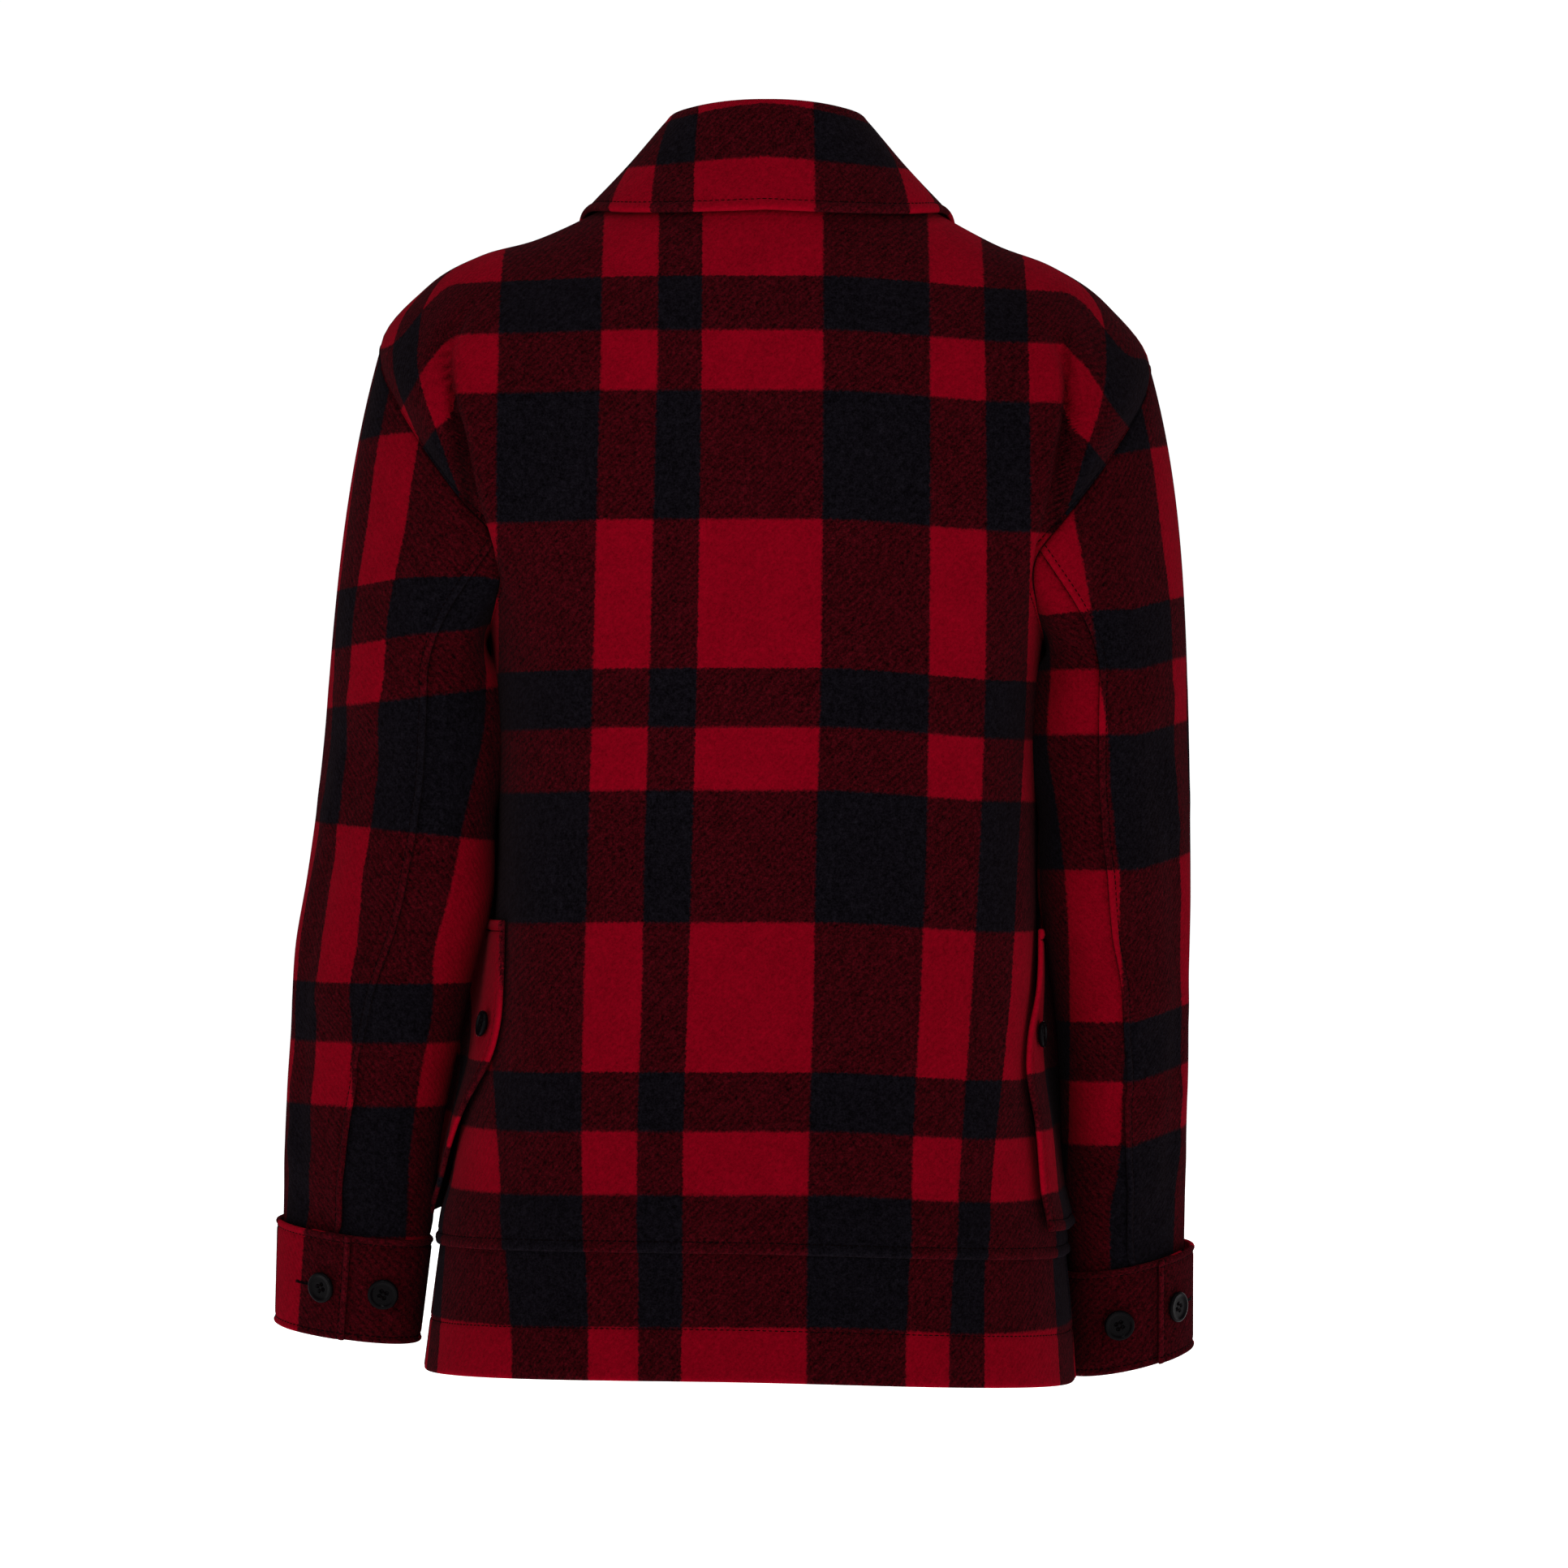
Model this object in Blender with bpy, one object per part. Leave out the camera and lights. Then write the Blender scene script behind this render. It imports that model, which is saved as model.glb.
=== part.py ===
"""Mackinaw jacket of plaid wool, hollow and filled out as if worn.

Metres, +Z up. The front faces -Y and the wearer's left is +X. The origin is at the centre back of
the neck seam. Each piece of cloth is a closed wall with 0.3 mm to its neighbours at the seams.
Angles round the body are 0 at the centre back and grow toward the wearer's left. "Down" is the
way from the neck seam along the centre back. Tables are in millimetres and degrees.
"""

import bmesh
import bpy
import numpy as np

MM = 0.001

# Driving sizes
WALL = 2.5 * MM
GAP = 0.3 * MM
LAP_RISE = WALL + GAP
FRONT_RISE = WALL + 0.8 * MM
CUFF_RISE = WALL + 0.8 * MM
POCKET_GAP = 1.0 * MM
BACK_EDGE_DOWN = 661.0
BACK_EDGE_OVERLAP = 12.0
HEM_DOWN = 737.0
FRONT_OVERLAP = 22.0 * MM
CUFF_HEIGHT = 65.0 * MM
CUFF_OVER_SLEEVE = 9.0 * MM
BUTTON_RADIUS = 9.5 * MM
POCKET_BUTTON_RADIUS = 8.0 * MM
BUTTON_THICKNESS = 3.6 * MM
FRONT_BUTTONS = 6


def table(names, rows):
    """Columns of a short table by name. The first column is the place the rows stand at."""
    columns = np.array(rows, dtype=float).T
    return dict(zip(names.split(), columns))


def between(rows, name, place):
    """A column's value at a place between the rows, along a smooth cubic."""
    key = next(iter(rows))
    at = rows[key]
    value = rows[name]
    slope = np.gradient(value, at)
    place = np.clip(np.asarray(place, dtype=float), at[0], at[-1])
    i = np.clip(np.searchsorted(at, place, side="right") - 1, 0, len(at) - 2)
    span = at[i + 1] - at[i]
    t = (place - at[i]) / span
    start = (1 + 2 * t) * (1 - t) ** 2 * value[i] + t * (1 - t) ** 2 * span * slope[i]
    finish = t * t * (3 - 2 * t) * value[i + 1] + t * t * (t - 1) * span * slope[i + 1]
    return start + finish


def ease(x, low, high):
    """0 below low, 1 above high, smooth between them; low may be the larger."""
    t = np.clip((np.asarray(x, dtype=float) - low) / (high - low), 0.0, 1.0)
    return t * t * (3 - 2 * t)


# Rings of the body, from the neck seam to the hem
BODY = table(
    "down z_back z_side z_front half_width back front middle_x middle_y square lean",
    [
        (0, 0, -8, -78, 72, 60, 72, 0, 8, 2.0, 0.000),
        (30, -28, -27, -103, 104, 76, 86, 0, 6, 2.1, 0.003),
        (65, -62, -45, -130, 140, 93, 98, 0, 4, 2.3, 0.012),
        (105, -101, -57, -160, 176, 109, 110, 0, 2, 2.6, 0.020),
        (145, -141, -78, -192, 209, 121, 118, 0, 0, 2.9, 0.026),
        (180, -176, -114, -222, 236, 128, 122, 1, 0, 3.1, 0.026),
        (215, -211, -160, -250, 220, 132, 125, 1, 0, 3.3, 0.022),
        (250, -246, -222, -276, 187, 134, 127, 0.5, 0, 3.2, 0.018),
        (272, -268, -258, -288, 175.5, 135.5, 128, 0.2, 0, 3.05, 0.017),
        (295, -291, -290, -302, 169, 137, 129, 0, 0, 2.92, 0.016),
        (320, -316, -318, -323, 166.5, 138, 129.5, 0, 0, 2.85, 0.016),
        (345, -341, -343, -346, 165.5, 139, 130, 0, 0, 2.8, 0.016),
        (460, -456, -460, -460, 165.5, 140, 131, 0.5, 0, 2.8, 0.016),
        (545, -541, -546, -545, 172, 144, 134, 6, 0, 2.7, 0.018),
        (600, -596, -601, -600, 181.5, 146, 136, 8.5, 0, 2.6, 0.020),
        (645, -641, -647, -645, 188.5, 148, 138, 9.5, 0, 2.5, 0.020),
        (740, -736, -743, -741, 200, 152, 142, 11, 0, 2.5, 0.020),
    ],
)

# Soft folds of the body: where the ridge runs, how wide and how high it is
BODY_FOLDS = table(
    "top bottom top_angle bottom_angle width height",
    [
        (105, 330, 47, 50, 9, 4.0),
        (105, 330, -48, -51, 9, 4.5),
        (120, 420, 33, 27, 9, -2.0),
        (130, 430, -33, -28, 10, -2.4),
        (330, 640, 60, 40, 10, 2.5),
        (360, 650, -64, -46, 9, 3.0),
        (420, 690, 22, 18, 9, 2.0),
        (400, 700, -20, -24, 10, 1.8),
        (120, 400, 135, 128, 10, 3.0),
        (120, 400, -136, -129, 10, 3.0),
        (330, 680, 120, 126, 12, 2.5),
        (330, 680, -118, -125, 12, 2.5),
        (235, 640, 106, 106, 13, 9.0),
        (235, 640, -106, -106, 13, 7.5),
        (235, 400, 104, 104, 12, 5.0),
        (235, 400, -104, -104, 12, 5.0),
    ],
)

# The armhole as an oval in the plane of down and angle
ARMHOLE_TOP = 180.0
ARMHOLE_BOTTOM = 295.0
ARMHOLE_BACK_DEPTH = 37.0
ARMHOLE_FRONT_DEPTH = 36.0
ARMHOLE_FULLNESS = 0.25


def body_fold_height(angle, down):
    """How far the soft folds move the cloth out, in millimetres."""
    total = np.zeros(np.broadcast(angle, down).shape)
    for row in zip(*BODY_FOLDS.values()):
        top, bottom, top_angle, bottom_angle, width, height = row
        t = (down - top) / (bottom - top)
        ridge = top_angle + (bottom_angle - top_angle) * np.clip(t, 0, 1)
        along = np.sin(np.pi * np.clip(t, 0, 1)) ** 2
        total = total + height * along * np.exp(-(((angle - ridge) / width) ** 2))
    return total


def body_point(angle, down, lift=0.0):
    """Outer face of the body at an angle and a way down, moved out by lift metres."""
    angle, down, lift = np.broadcast_arrays(
        np.asarray(angle, float), np.asarray(down, float), np.asarray(lift, float)
    )
    sine = np.sin(np.radians(angle))
    cosine = np.cos(np.radians(angle))
    square = between(BODY, "square", down)
    radius = (np.abs(sine) ** square + np.abs(cosine) ** square) ** (1 / square)
    behind = cosine > 0
    depth = np.where(behind, between(BODY, "back", down), between(BODY, "front", down))
    z_end = np.where(behind, between(BODY, "z_back", down), between(BODY, "z_front", down))
    z_side = between(BODY, "z_side", down)
    out = body_fold_height(angle, down) + lift / MM
    x = between(BODY, "half_width", down) * sine / radius + out * sine
    y = depth * cosine / radius + out * cosine
    z = z_side + (z_end - z_side) * cosine**2
    z = z + between(BODY, "lean", down) * x
    x = x + between(BODY, "middle_x", down)
    y = y + between(BODY, "middle_y", down)
    return np.stack([x, y, z], axis=-1) * MM


def unit(vectors):
    """Vectors of length one."""
    return vectors / np.maximum(np.linalg.norm(vectors, axis=-1, keepdims=True), 1e-12)


def body_normal(angle, down):
    """Outward normal of the body's outer face."""
    round_way = body_point(angle + 0.5, down) - body_point(angle - 0.5, down)
    down_way = body_point(angle, down + 1.0) - body_point(angle, down - 1.0)
    return unit(np.cross(round_way, down_way))


def body_skin(angle, down, lift=0.0):
    """The body's outer face moved out along its normal by lift metres."""
    angle, down, lift = np.broadcast_arrays(
        np.asarray(angle, float), np.asarray(down, float), np.asarray(lift, float)
    )
    return body_point(angle, down) + body_normal(angle, down) * lift[..., None]


def armhole_place(turn):
    """Angle from the centre back and way down of the armhole, 0 at the shoulder tip.

    Turn grows down the back side to 180 at the underarm; the front side is negative.
    """
    turn = np.asarray(turn, dtype=float)
    swing = np.radians(turn)
    middle = (ARMHOLE_TOP + ARMHOLE_BOTTOM) / 2
    reach = (ARMHOLE_BOTTOM - ARMHOLE_TOP) / 2
    down = middle - reach * np.cos(swing)
    depth = np.where(turn > 0, ARMHOLE_BACK_DEPTH, ARMHOLE_FRONT_DEPTH)
    angle = 90 - depth * np.sin(swing) * (1 - ARMHOLE_FULLNESS * np.cos(swing))
    return angle, down


# Sleeve sections, from the first whole one to the end inside the cuff. Height is negative, down.
LEFT_SLEEVE = table(
    "below centre_x centre_y half_width half_depth skew tilt pitch back_seam",
    [
        (315, 220.0, 0, 50.2, 77, 16, 2, 0, 107),
        (345, 220.0, 0, 53.6, 75, 20, 3, 0, 105),
        (395, 222.6, 0, 56.2, 72, 22, 4, 1, 102),
        (445, 228.2, -1, 57.6, 69, 22, 5, 2, 98),
        (483, 236.6, -3, 55.6, 66, 22, 5, 3, 94),
        (541, 244.6, -8, 51.0, 60, 24, 5, 3, 86),
        (591, 251.2, -14, 48.0, 54, 26, 5, 4, 82),
        (652, 255.2, -22, 46.0, 46, 29, 4, 4, 80),
        (720, 260.6, -31, 42.8, 41, 30, 4, 4, 80),
    ],
)
RIGHT_SLEEVE = table(
    "below centre_x centre_y half_width half_depth skew tilt pitch back_seam",
    [
        (315, 214.5, 0, 44.8, 77, 15, 1, 0, 107),
        (345, 213.8, 0, 47.4, 75, 19, 1, 0, 106),
        (395, 214.2, -2, 48.0, 72, 21, 1, 1, 104),
        (445, 215.8, -6, 47.0, 69, 21, 2, 2, 100),
        (500, 220.0, -14, 42.0, 64, 20, 3, 3, 96),
        (560, 222.5, -26, 39.4, 58, 20, 4, 4, 93),
        (615, 223.0, -40, 38.6, 53, 20, 6, 5, 90),
        (672, 223.6, -54, 37.6, 48, 17, 8, 5, 88),
        (740, 224.4, -64, 37.0, 46, 14, 9, 5, 88),
    ],
)
SLEEVES = {1: LEFT_SLEEVE, -1: RIGHT_SLEEVE}
CUFF_TOP = {1: 652.0, -1: 672.0}
SLEEVE_END = {1: 652.0 + CUFF_OVER_SLEEVE / MM, -1: 672.0 + CUFF_OVER_SLEEVE / MM}
BACK_SEAM_TURN = 105.0
FRONT_SEAM_TURN = 120.0
FRONT_SEAM_ANGLE = 112.0
CAP_END = 315.0

# Soft folds across the sleeves: below, turn, slope, lengthwise and round spread, height
SLEEVE_FOLDS = table(
    "below turn slope spread reach height",
    [
        (330, 60, 0.35, 16, 45, 2.6),
        (372, 75, 0.30, 13, 40, -1.6),
        (430, 95, -0.30, 15, 45, 3.0),
        (468, 105, -0.35, 12, 40, -2.2),
        (505, 80, -0.25, 15, 45, 2.6),
        (575, 60, 0.20, 14, 40, 1.8),
        (620, 95, 0.15, 12, 45, 1.6),
        (455, -80, 0.30, 14, 45, 3.2),
        (490, -85, 0.30, 12, 45, -2.6),
        (420, -70, 0.25, 13, 40, -2.0),
        (560, -60, -0.20, 15, 45, 2.0),
        (350, -60, -0.35, 16, 45, 2.4),
    ],
)


def sleeve_fold_height(turn, below):
    """How far the sleeve's soft folds move the cloth out, in millimetres."""
    total = np.zeros(np.broadcast(turn, below).shape)
    for row in zip(*SLEEVE_FOLDS.values()):
        place, centre, slope, spread, reach, height = row
        across = (turn - centre + 180) % 360 - 180
        along = below - place - slope * across
        total = total + height * np.exp(-((along / spread) ** 2) - (across / reach) ** 2)
    return total * (1 - ease(np.abs(turn), 105, 145))


def section_angle(side, turn, below):
    """Angle round a sleeve section: 0 outside, 90 behind, 180 inside, negative in front."""
    back_seam = between(SLEEVES[side], "back_seam", below)
    back_top = turn / BACK_SEAM_TURN * back_seam
    back_under = back_seam + (turn - BACK_SEAM_TURN) / (180 - BACK_SEAM_TURN) * (180 - back_seam)
    front_top = turn / FRONT_SEAM_TURN * FRONT_SEAM_ANGLE
    beyond = (turn + FRONT_SEAM_TURN) / (180 - FRONT_SEAM_TURN)
    front_under = -FRONT_SEAM_ANGLE + beyond * (180 - FRONT_SEAM_ANGLE)
    behind = np.where(turn > BACK_SEAM_TURN, back_under, back_top)
    before = np.where(turn < -FRONT_SEAM_TURN, front_under, front_top)
    return np.where(turn > 0, behind, before)


def section_point(side, angle, below, out=0.0):
    """Point of a sleeve section at an angle round it, its outline moved out by out millimetres."""
    rows = SLEEVES[side]
    phi = np.radians(angle)
    skew = np.radians(between(rows, "skew", below))
    half_width = between(rows, "half_width", below)
    half_depth = between(rows, "half_depth", below)
    out_x = half_depth * np.cos(phi - skew)
    out_y = half_width * np.sin(phi)
    share = out / np.hypot(out_x, out_y)
    across = half_width * np.cos(phi) + out_x * share
    depth = half_depth * np.sin(phi - skew) + out_y * share
    rise = across * np.tan(np.radians(between(rows, "tilt", below)))
    rise = rise - depth * np.tan(np.radians(between(rows, "pitch", below)))
    x = side * (between(rows, "centre_x", below) + across)
    y = between(rows, "centre_y", below) + depth
    z = -below + rise
    return np.stack([x, y, z], axis=-1) * MM


def sleeve_section(side, turn, below):
    """Point of a sleeve section at a turn, its soft folds included."""
    angle = section_angle(side, turn, below)
    return section_point(side, angle, below, sleeve_fold_height(turn, below))


def wrap_turn(turn):
    """A turn brought into -180 to 180."""
    return (np.asarray(turn, dtype=float) + 180.0) % 360.0 - 180.0


def sleeve_point(side, turn, way):
    """Outer face of a sleeve. Way is 0 to 1 over the cap, then 1 to 2 from there to the end."""
    turn, way = np.broadcast_arrays(wrap_turn(turn), np.asarray(way, float))
    angle, down = armhole_place(turn)
    start = body_point(side * angle, down)
    below = CAP_END + (SLEEVE_END[side] - CAP_END) * np.clip(way - 1, 0, 1)
    whole = sleeve_section(side, turn, below)
    finish = sleeve_section(side, turn, np.full_like(way, CAP_END))
    lower = sleeve_section(side, turn, np.full_like(way, CAP_END + 10.0))
    length = np.linalg.norm(finish - start, axis=-1, keepdims=True)
    slope = np.radians(74 - 26 * ease(np.abs(turn), 20, 160))[..., None]
    leave = np.concatenate([side * np.cos(slope), 0 * slope, -np.sin(slope)], axis=-1) * length
    arrive = unit(lower - finish) * length
    t = np.clip(way, 0, 1)[..., None]
    cap = (1 + 2 * t) * (1 - t) ** 2 * start + t * (1 - t) ** 2 * leave
    cap = cap + t * t * (3 - 2 * t) * finish + t * t * (t - 1) * arrive
    return np.where((way <= 1)[..., None], cap, whole)


def sleeve_normal(side, turn, way):
    """Outward normal of a sleeve's outer face."""
    way = np.asarray(way, dtype=float)
    round_way = sleeve_point(side, turn + 1.5, way) - sleeve_point(side, turn - 1.5, way)
    down_way = sleeve_point(side, turn, way + 0.02) - sleeve_point(side, turn, np.maximum(way - 0.02, 0))
    return unit(np.cross(round_way, down_way) * -side)


def seam_offset(normal_a, normal_b, wall=WALL):
    """From the outer to the inner edge of a seam that two pieces share, as a mitre."""
    middle = unit(normal_a + normal_b)
    reach = 1 / np.maximum(np.sum(middle * normal_a, axis=-1, keepdims=True), 0.5)
    return -middle * reach * wall


def material(name, colour, roughness, metallic=0.0):
    """A plain Principled material."""
    made = bpy.data.materials.new(name)
    made.use_nodes = True
    made.diffuse_color = (*colour, 1.0)
    shader = made.node_tree.nodes["Principled BSDF"]
    shader.inputs["Base Color"].default_value = (*colour, 1.0)
    shader.inputs["Roughness"].default_value = roughness
    shader.inputs["Metallic"].default_value = metallic
    return made


def draw_in(points, normals, amount=GAP / 2):
    """Moves a grid's four edges in along the cloth by half a seam gap."""
    moved = points.copy()
    for axis in (0, 1):
        for edge, step in ((0, 1), (-1, -1)):
            rim = np.take(points, edge, axis=axis)
            inside = np.take(points, edge + step, axis=axis)
            normal = np.take(normals, edge, axis=axis)
            along = unit(np.gradient(rim, axis=0))
            inward = unit(np.cross(normal, along))
            sign = np.sign(np.sum(inward * (inside - rim), axis=-1, keepdims=True))
            shift = inward * sign * amount
            if axis == 0:
                moved[edge] += shift
            else:
                moved[:, edge] += shift
    return moved


def wall_solid(name, outer, inner, surface):
    """Closed wall between two grids of points of the same shape."""
    rows, columns = outer.shape[:2]
    mesh = bmesh.new()
    faces_out = [[mesh.verts.new(point) for point in row] for row in outer]
    faces_in = [[mesh.verts.new(point) for point in row] for row in inner]
    for i in range(rows - 1):
        for j in range(columns - 1):
            mesh.faces.new((faces_out[i][j], faces_out[i][j + 1], faces_out[i + 1][j + 1], faces_out[i + 1][j]))
            mesh.faces.new((faces_in[i][j], faces_in[i + 1][j], faces_in[i + 1][j + 1], faces_in[i][j + 1]))
    for i in range(rows - 1):
        mesh.faces.new((faces_out[i + 1][0], faces_in[i + 1][0], faces_in[i][0], faces_out[i][0]))
        mesh.faces.new((faces_in[i][-1], faces_in[i + 1][-1], faces_out[i + 1][-1], faces_out[i][-1]))
    for j in range(columns - 1):
        mesh.faces.new((faces_out[0][j], faces_in[0][j], faces_in[0][j + 1], faces_out[0][j + 1]))
        mesh.faces.new((faces_out[-1][j + 1], faces_in[-1][j + 1], faces_in[-1][j], faces_out[-1][j]))
    bmesh.ops.recalc_face_normals(mesh, faces=mesh.faces)
    data = bpy.data.meshes.new(name)
    mesh.to_mesh(data)
    mesh.free()
    data.materials.append(surface)
    made = bpy.data.objects.new(name, data)
    bpy.context.collection.objects.link(made)
    return made


def cloth(name, points, normals, surface, offsets=None):
    """Wall of cloth under a grid of outer points, edges drawn in for the seam gaps."""
    offsets = -normals * WALL if offsets is None else offsets
    outer = draw_in(points, normals)
    return wall_solid(name, outer, outer + offsets, surface)


# The ways down at which the body pieces have their rows, and the back's columns
BACK_COLUMNS = 21
ARMHOLE_TURNS = np.arange(0.0, 181.0, 15.0)
SHOULDER_DOWNS = np.array([0.0, 15, 35, 60, 88, 116, 142, 163])
SIDE_DOWNS = np.array([325.0, 365, 415, 465, 515, 560, 605])


def edge_angle(down, front):
    """Angle of a panel's outer edge: the shoulder ridge, the armhole or the side seam."""
    middle = (ARMHOLE_TOP + ARMHOLE_BOTTOM) / 2
    reach = (ARMHOLE_BOTTOM - ARMHOLE_TOP) / 2
    turn = np.degrees(np.arccos(np.clip((middle - down) / reach, -1, 1)))
    angle, _ = armhole_place(-turn if front else turn)
    inside = (down > ARMHOLE_TOP) & (down < ARMHOLE_BOTTOM)
    return np.where(inside, angle, 90.0)


def armhole_offset(side, turn):
    """Seam offset shared by the body and the sleeve at the armhole."""
    angle, down = armhole_place(turn)
    body = body_normal(side * angle, down)
    sleeve = sleeve_normal(side, turn, 0.0)
    return seam_offset(body, sleeve)


def panel_downs(last_rows):
    """Rows of a panel: shoulder, armhole and side, then its own last ones."""
    _, armhole = armhole_place(ARMHOLE_TURNS)
    return np.concatenate([SHOULDER_DOWNS, armhole, SIDE_DOWNS, last_rows])


def armhole_rows():
    """Index of the first armhole row in a panel."""
    return len(SHOULDER_DOWNS)


def spread_rows(downs, closeness):
    """Ways down on a panel's grid: the armhole rows open out evenly away from the armhole."""
    first = armhole_rows()
    count = len(ARMHOLE_TURNS)
    even = downs.copy()
    even[first:first + count] = np.linspace(ARMHOLE_TOP, ARMHOLE_BOTTOM, count)
    return even[:, None] + (downs - even)[:, None] * closeness[None, :]


def back_rise(down):
    """How far the back lies out over the band along its lower edge."""
    return LAP_RISE * ease(down, 618, 645)


# Collar from the centre back to its front end: the neck seam, the roll and the outer edge
COLLAR = table(
    "part seam_angle edge_angle stand lean edge_down edge_lift",
    [
        (0.00, 0, 0, 34.5, 7, 36, 3.4),
        (0.25, 44, 43, 35.5, 11, 39, 2.6),
        (0.50, 88, 86, 37, 18, 36, 1.6),
        (0.72, 126, 117, 34, 13, 51, 1.6),
        (0.88, 153, 136, 29, 8, 67, 1.8),
        (1.00, 170, 149, 24, 6, 80, 2.4),
    ],
)
ROLL_RADIUS = 3.4
COLLAR_WALL = 2.8 * MM
COLLAR_GAP = 0.7 * MM


def collar_point(part, way):
    """Under face of the collar: part is -1 to 1 round the neck, way 0 at the seam to 1 at the edge."""
    side = np.sign(part)
    part = np.abs(part)
    seam_angle = between(COLLAR, "seam_angle", part)
    edge_angle_here = between(COLLAR, "edge_angle", part)
    seam = body_point(side * seam_angle, 0.0)
    edge = body_skin(
        side * edge_angle_here,
        between(COLLAR, "edge_down", part),
        between(COLLAR, "edge_lift", part) * MM,
    )
    stand = between(COLLAR, "stand", part)
    lean = between(COLLAR, "lean", part)
    direction = np.radians(side * (seam_angle * 0.5 + edge_angle_here * 0.5))
    out = np.stack([np.sin(direction), np.cos(direction), 0 * direction], axis=-1)
    up = np.array([0.0, 0.0, 1.0])

    def place(outward, height):
        return seam + out * (outward * MM)[..., None] + up * (height * MM)[..., None]

    roll_out = place(-lean + 2 * ROLL_RADIUS, stand - ROLL_RADIUS)
    fall = edge - roll_out
    controls = [
        seam + up * COLLAR_GAP,
        place(-lean * 0.75, stand * 0.5),
        place(-lean, stand - ROLL_RADIUS),
        place(-lean + ROLL_RADIUS, stand + 0 * lean),
        roll_out,
        roll_out + fall * 0.5 - out * 0.001,
        edge,
    ]
    places = np.array([0.0, 0.2, 0.38, 0.44, 0.5, 0.75, 1.0])
    slopes = np.gradient(np.stack(controls), places, axis=0)
    way = np.asarray(way, dtype=float)
    i = np.clip(np.searchsorted(places, way, side="right") - 1, 0, len(places) - 2)
    span = (places[i + 1] - places[i])[..., None]
    t = ((way - places[i]) / span[..., 0])[..., None]
    controls = np.stack(controls)
    pick = np.arange(way.shape[0])
    first = controls[i, pick] if controls.ndim == 3 else controls[i]
    second = controls[i + 1, pick]
    slope_a = slopes[i, pick]
    slope_b = slopes[i + 1, pick]
    point = (1 + 2 * t) * (1 - t) ** 2 * first + t * (1 - t) ** 2 * span * slope_a
    return point + t * t * (3 - 2 * t) * second + t * t * (t - 1) * span * slope_b


def collar_grid(parts, ways):
    """Under face of the collar on a grid and its unit normals toward the visible face."""
    grid_parts, grid_ways = np.meshgrid(parts, ways)
    shape = grid_parts.shape
    flat_parts = grid_parts.ravel()
    flat_ways = grid_ways.ravel()
    points = collar_point(flat_parts, flat_ways).reshape(*shape, 3)
    way_after = np.minimum(flat_ways + 0.01, 1.0)
    way_before = np.maximum(flat_ways - 0.01, 0.0)
    along = collar_point(flat_parts, way_after) - collar_point(flat_parts, way_before)
    part_after = np.minimum(flat_parts + 0.01, 1.0)
    part_before = np.maximum(flat_parts - 0.01, -1.0)
    across = collar_point(part_after, flat_ways) - collar_point(part_before, flat_ways)
    normals = unit(np.cross(across, along)).reshape(*shape, 3)
    return points, normals


def make_back(surface):
    """The back, whose lower edge lies over the band."""
    downs = panel_downs([632.0, 646.0, BACK_EDGE_DOWN])
    edges = edge_angle(downs, front=False)
    spread = np.linspace(-1, 1, BACK_COLUMNS)
    angle = edges[:, None] * spread[None, :]
    down = spread_rows(downs, np.abs(spread) ** 3)
    points = body_skin(angle, down, back_rise(down))
    normals = body_normal(angle, down)
    offsets = -normals * WALL
    fit_armholes(offsets, ((-1, 0), (1, -1)), 1)
    fit_neck(offsets, angle[0])
    return cloth("back", points, normals, surface, offsets)


def fit_armholes(offsets, edges, facing):
    """Gives a panel's armhole edges the offsets that the sleeve shares."""
    first = armhole_rows()
    for side, column in edges:
        rows = slice(first, first + len(ARMHOLE_TURNS))
        offsets[rows, column] = armhole_offset(side, facing * ARMHOLE_TURNS)


def neck_offset(angle):
    """Seam offset shared by the body and the collar's stand."""
    direction = np.radians(angle)
    outward = np.stack([np.sin(direction), np.cos(direction), 0 * direction], axis=-1)
    return seam_offset(body_normal(angle, 0.0 * angle), outward)


def fit_neck(offsets, angles):
    """Gives a panel's neck edge the offsets that the collar shares."""
    offsets[0] = neck_offset(angles)


def make_back_band(surface):
    """The strip below the back's lapped edge, down to the hem."""
    downs = np.linspace(BACK_EDGE_DOWN - BACK_EDGE_OVERLAP, HEM_DOWN, 5)
    angle = np.broadcast_to(np.linspace(-90, 90, BACK_COLUMNS)[None, :], (len(downs), BACK_COLUMNS))
    down = np.broadcast_to(downs[:, None], angle.shape)
    return cloth("back_band", body_point(angle, down), body_normal(angle, down), surface)


def front_reach(down):
    """Degrees from the centre front to the end of the overlap."""
    half_width = between(BODY, "half_width", down) * MM
    return np.degrees(np.arcsin(FRONT_OVERLAP / half_width))


def front_lift(angle, down):
    """How far the left front lies out over the right one, in metres."""
    reach = front_reach(down)
    return FRONT_RISE * ease(angle, 180 - 1.9 * reach, 180 - 1.2 * reach)


def make_front(name, side, surface):
    """One front, from its side seam past the centre front."""
    downs = panel_downs([640.0, 668.0, 703.0, HEM_DOWN])
    start = edge_angle(downs, front=True)[:, None]
    reach = front_reach(downs)[:, None]
    spread = np.linspace(0, 1, 8)
    side_part = start + (180 - 2.4 * reach - start) * spread[None, :]
    lap_part = 180 + reach * np.array([[-1.9, -1.55, -1.2, -0.5, 0.3, 1.0]])
    angle = np.concatenate([side_part, lap_part], axis=1)
    closeness = np.concatenate([(1 - spread) ** 3, np.zeros(lap_part.shape[1])])
    down = spread_rows(downs, closeness)
    lift = front_lift(angle, down) if side > 0 else 0.0 * angle
    down[0] += lift[0] / MM + 2.0 * ease(angle[0], 170, 178)
    points = body_skin(side * angle, down, lift)
    normals = body_normal(side * angle, down)
    offsets = -normals * WALL
    fit_armholes(offsets, ((side, 0),), -1)
    fit_neck(offsets, side * angle[0])
    return cloth(name, points, normals, surface, offsets)


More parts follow.
